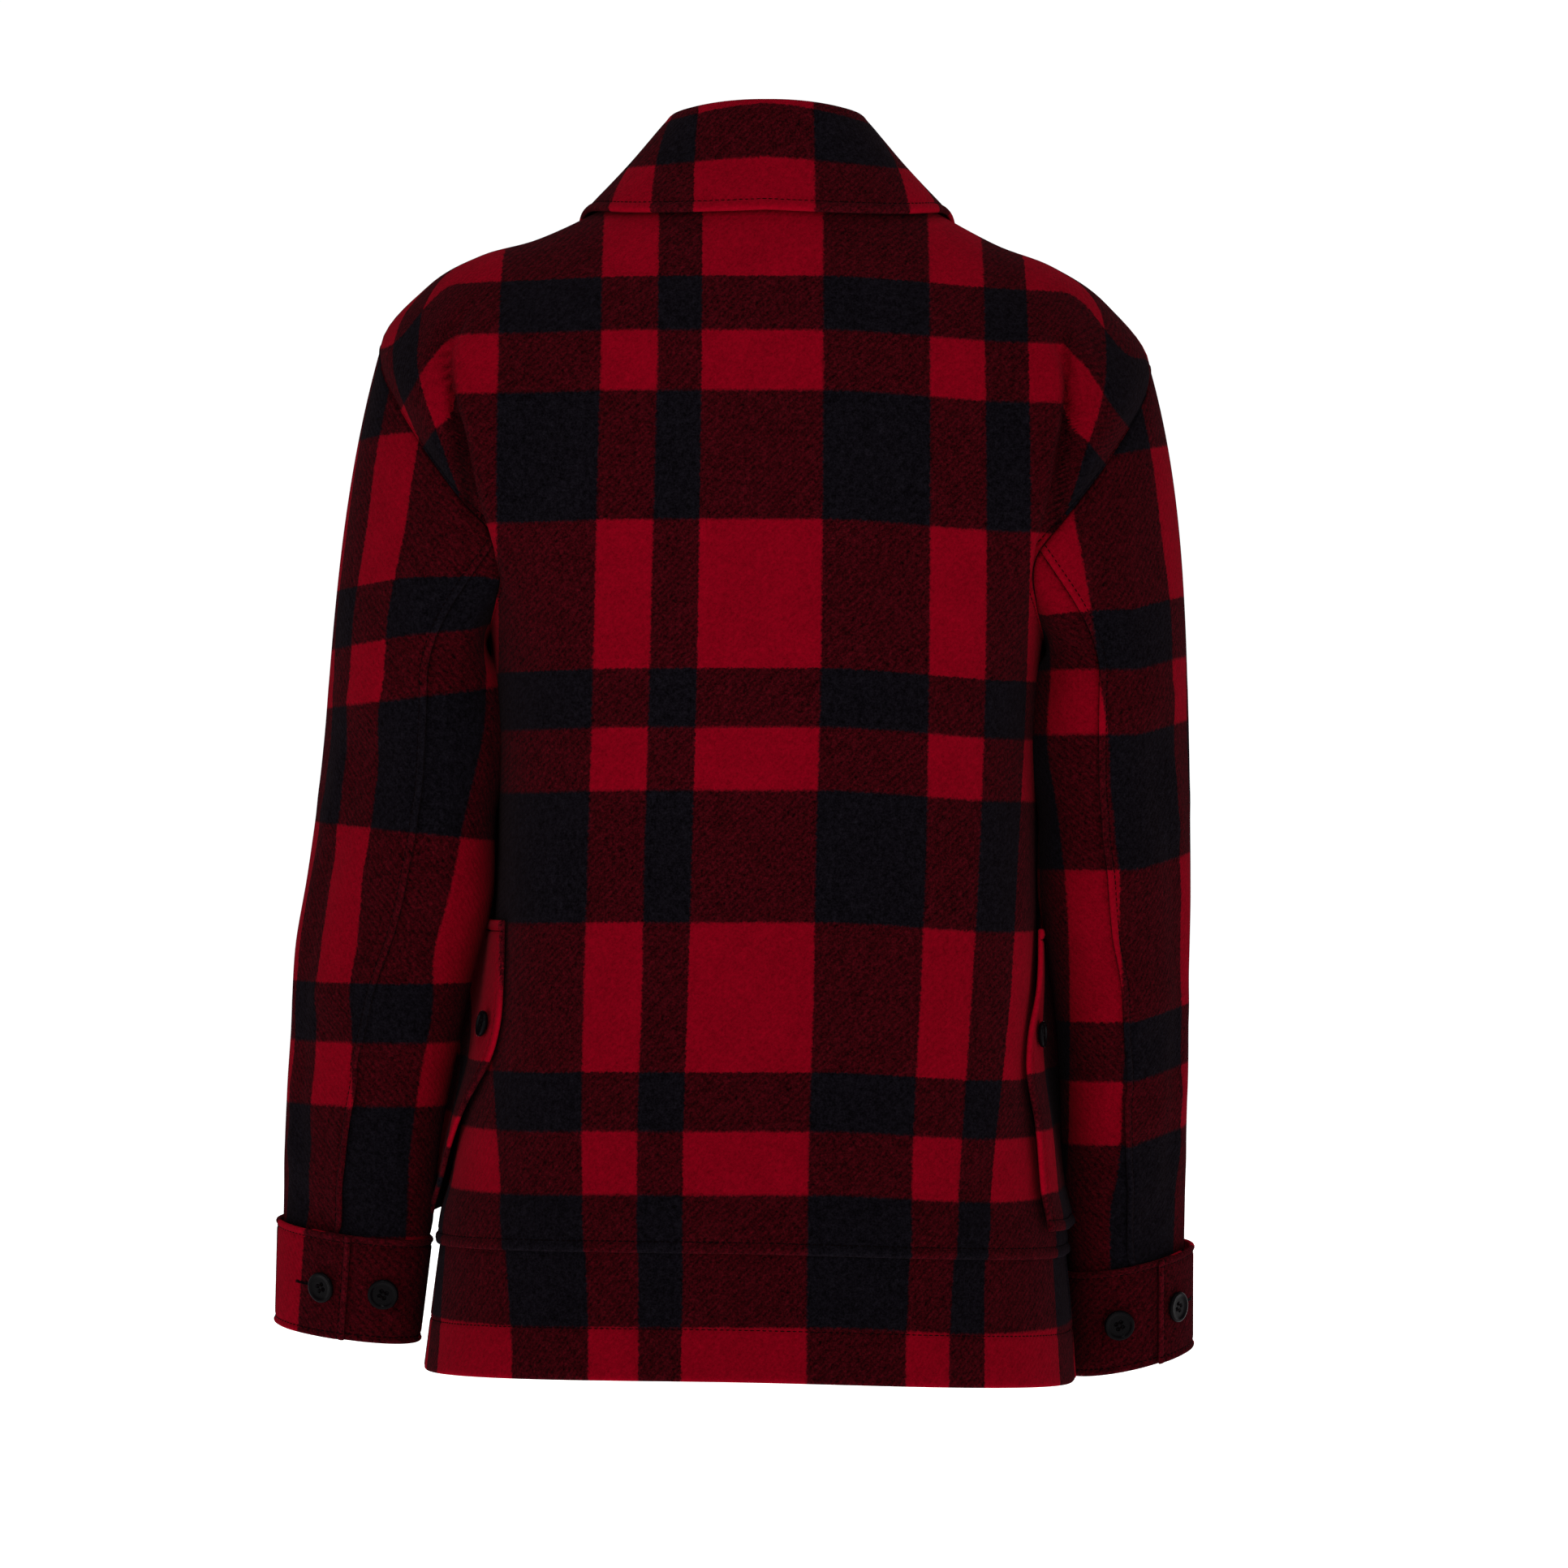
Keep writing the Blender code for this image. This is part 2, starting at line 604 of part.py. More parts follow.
def sleeve_ways():
    """Rows of a sleeve, over the cap and then down to its end."""
    return np.concatenate([[0.0, 0.1, 0.24, 0.4, 0.6, 0.8], np.linspace(1.0, 2.0, 15)])


def make_sleeve(name, side, turns, surface):
    """One of a sleeve's two pieces, between two lengthwise seams."""
    ways = sleeve_ways()
    turn, way = np.meshgrid(turns, ways)
    points = sleeve_point(side, turn, way)
    normals = sleeve_normal(side, turn, way)
    offsets = -normals * WALL
    offsets[0] = armhole_offset(side, wrap_turn(turns))
    return cloth(name, points, normals, surface, offsets)


# Where each cuff's upper end lies, and its two buttons: angle, way below the top, upper layer or not
CUFF_EDGE = {1: 93.0, -1: 66.0}
CUFF_UNDERLAP = 33.0
CUFF_BUTTONS = {
    1: ((75.5, 33.5, True), (120.5, 33.5, False)),
    -1: ((50.0, 32.0, True), (101.0, 34.5, False)),
}


def cuff_point(side, sweep, below):
    """Outer face of a cuff; sweep runs from the under end once round to the upper end."""
    finish = CUFF_EDGE[side] + 360.0
    rise = CUFF_RISE / MM * ease(sweep, finish - 105, finish - CUFF_UNDERLAP - 6)
    return section_point(side, sweep, below, LAP_RISE / MM + 0.5 + rise)


def cuff_normal(side, sweep, below):
    """Outward normal of a cuff's outer face."""
    round_way = cuff_point(side, sweep + 2.0, below) - cuff_point(side, sweep - 2.0, below)
    down_way = cuff_point(side, sweep, below + 2.0) - cuff_point(side, sweep, below - 2.0)
    return unit(np.cross(round_way, down_way) * -side)


def make_cuff(name, side, surface):
    """A cuff band whose ends lap at the back of the wrist."""
    finish = CUFF_EDGE[side] + 360.0
    sweeps = np.linspace(CUFF_EDGE[side] - CUFF_UNDERLAP, finish, 31)
    belows = CUFF_TOP[side] + np.linspace(0, CUFF_HEIGHT / MM, 5)
    sweep, below = np.meshgrid(sweeps, belows)
    return cloth(name, cuff_point(side, sweep, below), cuff_normal(side, sweep, below), surface)


def make_collar(surface):
    """Stand and turned-down fall in one piece."""
    parts = np.linspace(-1, 1, 29)
    ways = np.array([0.0, 0.1, 0.2, 0.3, 0.38, 0.41, 0.44, 0.47, 0.5, 0.58, 0.68, 0.78, 0.89, 1.0])
    under, normals = collar_grid(parts, ways)
    seam_angles = np.sign(parts) * between(COLLAR, "seam_angle", np.abs(parts))
    offsets = normals * COLLAR_WALL
    offsets[0] = neck_offset(seam_angles)
    return wall_solid("collar", under + offsets, under, surface)


# Pockets wrap round the side from a free rear edge. Angles and lifts of that edge by side
POCKET = table(
    "down rear_left rear_right lift_left lift_right full_left full_right",
    [
        (464, 60, 70, 0.5, 2.0, 0, 0),
        (500, 57, 66, 1.0, 3.0, 7, 6),
        (527, 56, 61, 1.0, 1.5, 13, 10),
        (545, 57, 59, 2.0, 2.0, 13, 11),
        (580, 66, 60, 4.0, 4.0, 14, 9),
        (615, 76, 60, 3.5, 4.0, 12, 6),
        (645, 86, 60, 2.0, 4.0, 6, 4),
    ],
)
POCKET_FULL_ANGLE = 112.0
POCKET_FULL_SPREAD = 18.0
POCKET_FRONT_ANGLE = 143.0
POCKET_TOP_DOWN = 464.0
POCKET_BOTTOM_DOWN = 645.0


def pocket_skin(side, angle, down):
    """Outer face of a pocket; its rear edge stands off the body."""
    name = "left" if side > 0 else "right"
    rear = between(POCKET, "rear_" + name, down)
    stand_off = between(POCKET, "lift_" + name, down) * (1 - ease(angle, rear, rear + 32))
    over_lap = back_rise(down) * (1 - ease(angle, 92, 104))
    full = between(POCKET, "full_" + name, down)
    full = full * np.exp(-(((angle - POCKET_FULL_ANGLE) / POCKET_FULL_SPREAD) ** 2))
    lift = WALL + POCKET_GAP + (stand_off + full) * MM + over_lap
    return body_skin(side * angle, down, lift)


def pocket_normal(side, angle, down):
    """Outward normal of a pocket's outer face."""
    round_way = pocket_skin(side, angle + 1.0, down) - pocket_skin(side, angle - 1.0, down)
    down_way = pocket_skin(side, angle, down + 2.0) - pocket_skin(side, angle, down - 2.0)
    return unit(np.cross(round_way, down_way) * side)


def make_pocket(name, side, surface):
    """A large patch pocket made from the body's points, moved out."""
    downs = np.linspace(POCKET_TOP_DOWN, POCKET_BOTTOM_DOWN, 8)
    rear = between(POCKET, "rear_left" if side > 0 else "rear_right", downs)
    spread = np.linspace(0, 1, 11)
    angle = rear[:, None] + (POCKET_FRONT_ANGLE - rear)[:, None] * spread[None, :]
    down = np.broadcast_to(downs[:, None], angle.shape)
    return cloth(name, pocket_skin(side, angle, down), pocket_normal(side, angle, down), surface)


# Half outline of a button as parts of its radius and thickness, from the back face to the front
BUTTON_OUTLINE = table(
    "step radius height",
    [
        (0, 0.78, 0.00),
        (1, 1.00, 0.30),
        (2, 1.00, 0.80),
        (3, 0.88, 1.00),
        (4, 0.70, 0.70),
    ],
)


def make_button(name, centre, axis, radius, surface, shank=GAP, segments=14):
    """A dished button whose back face stands a shank's length off the cloth at centre."""
    axis = unit(np.asarray(axis))
    helper = np.array([0.0, 0.0, 1.0])
    side_way = unit(np.cross(helper, axis))
    up_way = np.cross(axis, side_way)
    base = centre + axis * shank
    mesh = bmesh.new()
    rings = []
    for part_radius, height in zip(BUTTON_OUTLINE["radius"], BUTTON_OUTLINE["height"]):
        swing = np.linspace(0, 2 * np.pi, segments, endpoint=False)
        ring = base + axis * height * BUTTON_THICKNESS
        circle = side_way * np.cos(swing)[:, None] + up_way * np.sin(swing)[:, None]
        rings.append([mesh.verts.new(ring + point * part_radius * radius) for point in circle])
    for lower, upper in zip(rings, rings[1:]):
        for j in range(segments):
            k = (j + 1) % segments
            mesh.faces.new((lower[j], lower[k], upper[k], upper[j]))
    mesh.faces.new(list(reversed(rings[0])))
    mesh.faces.new(rings[-1])
    bmesh.ops.recalc_face_normals(mesh, faces=mesh.faces)
    data = bpy.data.meshes.new(name)
    mesh.to_mesh(data)
    mesh.free()
    data.materials.append(surface)
    made = bpy.data.objects.new(name, data)
    bpy.context.collection.objects.link(made)
    return made


def make_front_buttons(surface):
    """The row of buttons down the centre front, sewn to the upper layer."""
    for index, down in enumerate(np.linspace(22.0, 640.0, FRONT_BUTTONS)):
        place = body_skin(180.0, down, FRONT_RISE)
        axis = body_normal(180.0, down)
        make_button(f"front_button_{index + 1}", place, axis, BUTTON_RADIUS, surface)


def make_cuff_buttons(side, word, surface):
    """Two buttons on a cuff, one through the upper end and one on the band."""
    for index, (angle, below_top, upper) in enumerate(CUFF_BUTTONS[side]):
        sweep = angle + 360.0 if upper or angle < CUFF_EDGE[side] else angle
        below = CUFF_TOP[side] + below_top
        place = cuff_point(side, sweep, below)
        axis = cuff_normal(side, sweep, below)
        make_button(f"cuff_button_{word}_{index + 1}", place, axis, BUTTON_RADIUS, surface)


def make_pocket_button(side, word, surface):
    """The button that holds a pocket's rear edge to the back."""
    down = 527.0
    angle = between(POCKET, "rear_" + word, down) + 6.5
    place = pocket_skin(side, angle, down)
    axis = pocket_normal(side, angle, down)
    make_button(f"pocket_button_{word}", place, axis, POCKET_BUTTON_RADIUS, surface, shank=1.0 * MM)


def clear_scene():
    """Removes every object that is already in the file."""
    for existing in list(bpy.data.objects):
        bpy.data.objects.remove(existing, do_unlink=True)


def main():
    """Builds the jacket."""
    clear_scene()
    red = material("wool_red", (0.165, 0.001, 0.006), 0.95)
    maroon = material("wool_maroon", (0.032, 0.003, 0.005), 0.95)
    button = material("button_black", (0.012, 0.010, 0.012), 0.35)
    make_back(red)
    make_back_band(maroon)
    make_front("front_left", 1, red)
    make_front("front_right", -1, red)
    top_turns = np.arange(-FRONT_SEAM_TURN, BACK_SEAM_TURN + 1, 15.0)
    under_turns = np.arange(BACK_SEAM_TURN, 361.0 - FRONT_SEAM_TURN, 15.0)
    for side, word in ((1, "left"), (-1, "right")):
        make_sleeve(f"sleeve_{word}_top", side, top_turns, maroon)
        make_sleeve(f"sleeve_{word}_under", side, under_turns, maroon)
        make_cuff(f"cuff_{word}", side, maroon)
        make_pocket(f"pocket_{word}", side, red)
        make_cuff_buttons(side, word, button)
        make_pocket_button(side, word, button)
    make_collar(red)
    make_front_buttons(button)


if __name__ == "__main__":
    main()
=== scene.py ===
"""Looks of a hollow plaid wool mackinaw jacket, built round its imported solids.

Metres, +Z up, front toward -Y, the wearer's left +X, origin at the centre back of the neck seam.
Every cloth piece is a closed wall on its solid's own form, drawn finer, with the plaid laid on it
as on cut cloth: its map is in metres of cloth. Tables are in millimetres and degrees.
"""

import math
from functools import partial

import bmesh
import bpy
import numpy as np
from bpy.props import FloatProperty, FloatVectorProperty, PointerProperty
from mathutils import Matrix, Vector


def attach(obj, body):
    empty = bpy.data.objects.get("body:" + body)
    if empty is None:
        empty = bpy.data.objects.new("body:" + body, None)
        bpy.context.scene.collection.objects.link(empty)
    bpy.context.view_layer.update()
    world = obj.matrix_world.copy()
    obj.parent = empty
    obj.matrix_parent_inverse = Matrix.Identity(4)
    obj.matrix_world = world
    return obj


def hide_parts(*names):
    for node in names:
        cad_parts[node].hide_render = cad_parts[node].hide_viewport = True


bl_info = {
    "name": "Plaid wool jacket",
    "version": (1, 0, 0),
    "blender": (4, 5, 0),
    "location": "3D View > Sidebar > Jacket",
    "description": "Builds the cloth, sewing, buttons and studio of a plaid wool jacket",
    "category": "Add Mesh",
}

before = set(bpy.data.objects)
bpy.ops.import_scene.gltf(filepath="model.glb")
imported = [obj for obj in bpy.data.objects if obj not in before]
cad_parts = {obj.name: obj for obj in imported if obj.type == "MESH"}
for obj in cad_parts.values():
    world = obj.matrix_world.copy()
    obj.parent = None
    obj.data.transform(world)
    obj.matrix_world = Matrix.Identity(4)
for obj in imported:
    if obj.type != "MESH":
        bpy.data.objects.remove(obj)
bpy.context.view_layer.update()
MM = 0.001
SIDES = {1: "left", -1: "right"}
UP = np.array([0.0, 0.0, 1.0])

# Driving sizes
WALL = 2.5 * MM
GAP = 0.3 * MM
EDGE_DRAW = GAP / 20
LAP_RISE = WALL + GAP
FRONT_RISE = WALL + 0.8 * MM
CUFF_RISE = WALL + 0.8 * MM
POCKET_GAP = 1.0 * MM
BACK_EDGE_DOWN = 661.0
BACK_EDGE_OVERLAP = 12.0
HEM_DOWN = 737.0
FRONT_OVERLAP = 22.0 * MM
CUFF_HEIGHT = 65.0 * MM
CUFF_OVER_SLEEVE = 9.0 * MM
BUTTON_RADIUS = 9.5 * MM
POCKET_BUTTON_RADIUS = 8.0 * MM
BUTTON_THICKNESS = 3.6 * MM
FRONT_BUTTONS = 6


def table(names, rows):
    """Columns of a short table by name. The first column is the place the rows stand at."""
    columns = np.array(rows, dtype=float).T
    return dict(zip(names.split(), columns))


def between(rows, name, place):
    """A column's value at a place between the rows, along a smooth cubic."""
    key = next(iter(rows))
    at = rows[key]
    value = rows[name]
    slope = np.gradient(value, at)
    place = np.clip(np.asarray(place, dtype=float), at[0], at[-1])
    i = np.clip(np.searchsorted(at, place, side="right") - 1, 0, len(at) - 2)
    span = at[i + 1] - at[i]
    t = (place - at[i]) / span
    start = (1 + 2 * t) * (1 - t) ** 2 * value[i] + t * (1 - t) ** 2 * span * slope[i]
    finish = t * t * (3 - 2 * t) * value[i + 1] + t * t * (t - 1) * span * slope[i + 1]
    return start + finish


def swell(x, middle, spread):
    """1 at the middle, falling away to 0 on both sides of it."""
    return np.exp(-(((x - middle) / spread) ** 2))


def ease(x, low, high):
    """0 below low, 1 above high, smooth between them; low may be the larger."""
    t = np.clip((np.asarray(x, dtype=float) - low) / (high - low), 0.0, 1.0)
    return t * t * (3 - 2 * t)


# Rings of the body, from the neck seam to the hem
BODY = table(
    "down z_back z_side z_front half_width back front middle_x middle_y square lean",
    [
        (0, 0, -8, -78, 72, 60, 72, 0, 8, 2.0, 0.000),
        (30, -28, -27, -103, 104, 76, 86, 0, 6, 2.1, 0.003),
        (65, -62, -45, -130, 140, 93, 98, 0, 4, 2.3, 0.012),
        (105, -101, -57, -160, 176, 109, 110, 0, 2, 2.6, 0.020),
        (145, -141, -78, -192, 209, 121, 118, 0, 0, 2.9, 0.026),
        (180, -176, -114, -222, 236, 128, 122, 1, 0, 3.1, 0.026),
        (215, -211, -160, -250, 220, 132, 125, 1, 0, 3.3, 0.022),
        (250, -246, -222, -276, 187, 134, 127, 0.5, 0, 3.2, 0.018),
        (272, -268, -258, -288, 175.5, 135.5, 128, 0.2, 0, 3.05, 0.017),
        (295, -291, -290, -302, 169, 137, 129, 0, 0, 2.92, 0.016),
        (320, -316, -318, -323, 166.5, 138, 129.5, 0, 0, 2.85, 0.016),
        (345, -341, -343, -346, 165.5, 139, 130, 0, 0, 2.8, 0.016),
        (460, -456, -460, -460, 165.5, 140, 131, 0.5, 0, 2.8, 0.016),
        (545, -541, -546, -545, 172, 144, 134, 6, 0, 2.7, 0.018),
        (600, -596, -601, -600, 181.5, 146, 136, 8.5, 0, 2.6, 0.020),
        (645, -641, -647, -645, 188.5, 148, 138, 9.5, 0, 2.5, 0.020),
        (740, -736, -743, -741, 200, 152, 142, 11, 0, 2.5, 0.020),
    ],
)

# Soft folds of the body: where the ridge runs, how wide and how high it is
BODY_FOLDS = table(
    "top bottom top_angle bottom_angle width height",
    [
        (105, 330, 47, 50, 9, 4.0),
        (105, 330, -48, -51, 9, 4.5),
        (120, 420, 33, 27, 9, -2.0),
        (130, 430, -33, -28, 10, -2.4),
        (330, 640, 60, 40, 10, 2.5),
        (360, 650, -64, -46, 9, 3.0),
        (420, 690, 22, 18, 9, 2.0),
        (400, 700, -20, -24, 10, 1.8),
        (120, 400, 135, 128, 10, 3.0),
        (120, 400, -136, -129, 10, 3.0),
        (330, 680, 120, 126, 12, 2.5),
        (330, 680, -118, -125, 12, 2.5),
        (235, 640, 106, 106, 13, 9.0),
        (235, 640, -106, -106, 13, 7.5),
        (235, 400, 104, 104, 12, 5.0),
        (235, 400, -104, -104, 12, 5.0),
        (560, 790, -100, -100, 15, 4.0),
        (150, 300, 12, 4, 5, 1.2),
        (170, 360, -16, -9, 5, -1.3),
        (300, 470, 8, 12, 6, 1.2),
        (330, 560, -40, -33, 5, -1.6),
        (340, 560, 44, 35, 5, -1.5),
        (460, 690, 5, -4, 6, -1.3),
        (480, 700, -9, -12, 5, 1.2),
        (500, 690, 30, 27, 5, -1.2),
        (560, 730, -33, -30, 5, 1.3),
        (400, 620, 160, 150, 6, 1.5),
        (380, 640, -158, -150, 6, 1.5),
        (250, 420, 150, 146, 6, -1.4),
        (260, 430, -149, -146, 6, -1.4),
    ],
)

# The armhole as an oval in the plane of down and angle
ARMHOLE_TOP = 180.0
ARMHOLE_BOTTOM = 295.0
ARMHOLE_BACK_DEPTH = 37.0
ARMHOLE_FRONT_DEPTH = 36.0
ARMHOLE_FULLNESS = 0.25


# The fold behind each armhole: its angle by way down
ARM_FOLD = table(
    "down left right",
    [(125, 55, 50), (155, 50, 46.5), (179, 44.5, 42.5), (219, 45, 44), (244, 50, 48.5), (275, 55, 54)],
)


def arm_fold_height(angle, down):
    """How far the fold behind each armhole moves the cloth, in millimetres."""
    total = 0.0
    along = ease(down, 128, 165) * (1 - ease(down, 245, 285))
    for way, word in SIDES.items():
        apart = way * angle - between(ARM_FOLD, word, down)
        trough = -6.0 * swell(np.maximum(apart - 0.6, (0.6 - apart) * 1.8), 0.0, 1.9)
        ridge = 2.6 * swell(apart, -3.2, 2.6)
        fullness = 1.2 * swell(apart, 5.5, 3.0)
        total = total + along * (trough + ridge + fullness)
    return total


def body_fold_height(angle, down):
    """How far the soft folds move the cloth out, in millimetres."""
    total = np.zeros(np.broadcast(angle, down).shape) + arm_fold_height(angle, down)
    for row in zip(*BODY_FOLDS.values()):
        top, bottom, top_angle, bottom_angle, width, height = row
        t = (down - top) / (bottom - top)
        ridge = top_angle + (bottom_angle - top_angle) * np.clip(t, 0, 1)
        along = np.sin(np.pi * np.clip(t, 0, 1)) ** 2
        total = total + height * along * swell(angle, ridge, width)
    return total


def alike(*values):
    """Numbers and grids brought to one shape."""
    return np.broadcast_arrays(*(np.asarray(value, float) for value in values))


def body_point(angle, down, lift=0.0):
    """Outer face of the body at an angle and a way down, moved out by lift metres."""
    angle, down, lift = alike(angle, down, lift)
    sine = np.sin(np.radians(angle))
    cosine = np.cos(np.radians(angle))
    square = between(BODY, "square", down)
    radius = (np.abs(sine) ** square + np.abs(cosine) ** square) ** (1 / square)
    behind = cosine > 0
    depth = np.where(behind, between(BODY, "back", down), between(BODY, "front", down))
    z_end = np.where(behind, between(BODY, "z_back", down), between(BODY, "z_front", down))
    z_side = between(BODY, "z_side", down)
    out = body_fold_height(angle, down) + lift / MM
    x = between(BODY, "half_width", down) * sine / radius + out * sine
    y = depth * cosine / radius + out * cosine
    z = z_side + (z_end - z_side) * cosine**2
    z = z + between(BODY, "lean", down) * x
    x = x + between(BODY, "middle_x", down)
    y = y + between(BODY, "middle_y", down)
    return np.stack([x, y, z], axis=-1) * MM


def unit(vectors):
    """Vectors of length one."""
    return vectors / np.maximum(np.linalg.norm(vectors, axis=-1, keepdims=True), 1e-12)


def face_normal(point, across, along, step_across, step_along):
    """Unit normal of a face whose points a function gives by two places on it."""
    round_way = point(across + step_across, along) - point(across - step_across, along)
    down_way = point(across, along + step_along) - point(across, along - step_along)
    return unit(np.cross(round_way, down_way))


def body_normal(angle, down):
    """Outward normal of the body's outer face."""
    return face_normal(body_point, angle, down, 0.5, 1.0)


def body_skin(angle, down, lift=0.0):
    """The body's outer face moved out along its normal by lift metres."""
    angle, down, lift = alike(angle, down, lift)
    return body_point(angle, down) + body_normal(angle, down) * lift[..., None]


def armhole_place(turn):
    """Angle from the centre back and way down of the armhole, 0 at the shoulder tip.

    Turn grows down the back side to 180 at the underarm; the front side is negative.
    """
    turn = np.asarray(turn, dtype=float)
    swing = np.radians(turn)
    middle = (ARMHOLE_TOP + ARMHOLE_BOTTOM) / 2
    reach = (ARMHOLE_BOTTOM - ARMHOLE_TOP) / 2
    down = middle - reach * np.cos(swing)
    depth = np.where(turn > 0, ARMHOLE_BACK_DEPTH, ARMHOLE_FRONT_DEPTH)
    angle = 90 - depth * np.sin(swing) * (1 - ARMHOLE_FULLNESS * np.cos(swing))
    return angle, down


# Sleeve sections, from the first whole one to the end inside the cuff. Height is negative, down.
LEFT_SLEEVE = table(
    "below centre_x centre_y half_width half_depth skew tilt pitch back_seam",
    [
        (315, 220.0, 0, 50.2, 77, 16, 2, 0, 107),
        (345, 220.0, 0, 53.6, 75, 20, 3, 0, 105),
        (395, 222.6, 0, 56.2, 72, 22, 4, 1, 102),
        (445, 228.2, -1, 57.6, 69, 22, 5, 2, 98),
        (483, 236.6, -3, 55.6, 66, 22, 5, 3, 94),
        (541, 244.6, -8, 51.0, 60, 24, 5, 3, 86),
        (591, 251.2, -14, 48.0, 54, 26, 5, 4, 82),
        (652, 255.2, -22, 46.0, 46, 29, 4, 4, 80),
        (720, 260.6, -31, 42.8, 41, 30, 4, 4, 80),
    ],
)
RIGHT_SLEEVE = table(
    "below centre_x centre_y half_width half_depth skew tilt pitch back_seam",
    [
        (315, 214.5, 0, 44.8, 77, 15, 1, 0, 107),
        (345, 213.8, 0, 47.4, 75, 19, 1, 0, 106),
        (395, 214.2, -2, 48.0, 72, 21, 1, 1, 104),
        (445, 215.8, -6, 47.0, 69, 21, 2, 2, 100),
        (500, 220.0, -14, 42.0, 64, 20, 3, 3, 96),
        (560, 222.5, -26, 39.4, 58, 20, 4, 4, 93),
        (615, 223.0, -40, 38.6, 53, 20, 6, 5, 90),
        (672, 223.6, -54, 37.6, 48, 17, 8, 5, 88),
        (740, 224.4, -64, 37.0, 46, 14, 9, 5, 88),
    ],
)
SLEEVES = {1: LEFT_SLEEVE, -1: RIGHT_SLEEVE}
CUFF_TOP = {1: 652.0, -1: 672.0}
SLEEVE_END = {side: top + CUFF_OVER_SLEEVE / MM for side, top in CUFF_TOP.items()}
BACK_SEAM_TURN = 105.0
FRONT_SEAM_TURN = 120.0
FRONT_SEAM_ANGLE = 112.0
CAP_END = 315.0
LOWER_FULLNESS = 2.6
UPPER_FULLNESS = 10.2
INSIDE_SPREAD = 45.0

# Soft folds across the sleeves: below, turn, slope, lengthwise and round spread, height
SLEEVE_FOLDS = table(
    "below turn slope spread reach height",
    [
        (330, 60, 0.35, 16, 45, 2.6),
        (372, 75, 0.30, 13, 40, -1.6),
        (430, 95, -0.30, 15, 45, 3.0),
        (468, 105, -0.35, 12, 40, -2.2),
        (505, 80, -0.25, 15, 45, 2.6),
        (575, 60, 0.20, 14, 40, 1.8),
        (620, 95, 0.15, 12, 45, 1.6),
        (455, -80, 0.30, 14, 45, 3.2),
        (490, -85, 0.30, 12, 45, -2.6),
        (420, -70, 0.25, 13, 40, -2.0),
        (560, -60, -0.20, 15, 45, 2.0),
        (350, -60, -0.35, 16, 45, 2.4),
        (405, 40, 0.5, 9, 28, 1.2),
        (545, 100, -0.5, 9, 26, 1.4),
        (528, 70, 0.55, 8, 26, -1.2),
        (600, 45, -0.45, 9, 28, 1.2),
        (640, 70, 0.4, 9, 30, -1.1),
        (395, 100, -0.6, 8, 24, 1.3),
        (600, -50, 0.4, 10, 30, 1.3),
        (530, -75, -0.4, 9, 28, -1.3),
    ],
)


def sleeve_fold_height(turn, below):
    """How far the sleeve's soft folds move the cloth out, in millimetres."""
    total = np.zeros(np.broadcast(turn, below).shape)
    for row in zip(*SLEEVE_FOLDS.values()):
        place, centre, slope, spread, reach, height = row
        across = (turn - centre + 180) % 360 - 180
        along = below - place - slope * across
        total = total + height * np.exp(-((along / spread) ** 2) - (across / reach) ** 2)
    long_way = ease(below, 330, 380) * (1 - ease(below, 600, 650))
    wander = 8 * np.sin(below / 45)
    ridge = 1.5 * swell(turn - 33, wander, 9.0)
    dip = -1.2 * swell(turn - 52, wander, 9.0)
    total = (total + long_way * (ridge + dip)) * (1 - ease(np.abs(turn), 105, 145))
    full = LOWER_FULLNESS * ease(below, 395, 450) * (1 - ease(below, 640, 665))
    full = full + UPPER_FULLNESS * (1 - ease(below, 340, 400))
    return total + full * swell(np.asarray(turn) % 360, 180, INSIDE_SPREAD)


def section_angle(side, turn, below):
    """Angle round a sleeve section: 0 outside, 90 behind, 180 inside, negative in front."""
    back_seam = between(SLEEVES[side], "back_seam", below)
    back_top = turn / BACK_SEAM_TURN * back_seam
    back_under = back_seam + (turn - BACK_SEAM_TURN) / (180 - BACK_SEAM_TURN) * (180 - back_seam)
    front_top = turn / FRONT_SEAM_TURN * FRONT_SEAM_ANGLE
    beyond = (turn + FRONT_SEAM_TURN) / (180 - FRONT_SEAM_TURN)
    front_under = -FRONT_SEAM_ANGLE + beyond * (180 - FRONT_SEAM_ANGLE)
    behind = np.where(turn > BACK_SEAM_TURN, back_under, back_top)
    before = np.where(turn < -FRONT_SEAM_TURN, front_under, front_top)
    return np.where(turn > 0, behind, before)


def section_point(side, angle, below, out=0.0):
    """Point of a sleeve section at an angle round it, its outline moved out by out millimetres."""
    rows = SLEEVES[side]
    phi = np.radians(angle)
    skew = np.radians(between(rows, "skew", below))
    half_width = between(rows, "half_width", below)
    half_depth = between(rows, "half_depth", below)
    out_x = half_depth * np.cos(phi - skew)
    out_y = half_width * np.sin(phi)
    share = out / np.hypot(out_x, out_y)
    across = half_width * np.cos(phi) + out_x * share
    depth = half_depth * np.sin(phi - skew) + out_y * share
    rise = across * np.tan(np.radians(between(rows, "tilt", below)))
    rise = rise - depth * np.tan(np.radians(between(rows, "pitch", below)))
    x = side * (between(rows, "centre_x", below) + across)
    y = between(rows, "centre_y", below) + depth
    z = -below + rise
    return np.stack([x, y, z], axis=-1) * MM


def sleeve_section(side, turn, below):
    """Point of a sleeve section at a turn, its soft folds included."""
    angle = section_angle(side, turn, below)
    return section_point(side, angle, below, sleeve_fold_height(turn, below))


def wrap_turn(turn):
    """A turn brought into -180 to 180."""
    return (np.asarray(turn, dtype=float) + 180.0) % 360.0 - 180.0


def way_below(side, way):
    """Height below the origin of a way along a sleeve from the end of its cap on."""
    return CAP_END + (SLEEVE_END[side] - CAP_END) * np.clip(way - 1, 0, 1)


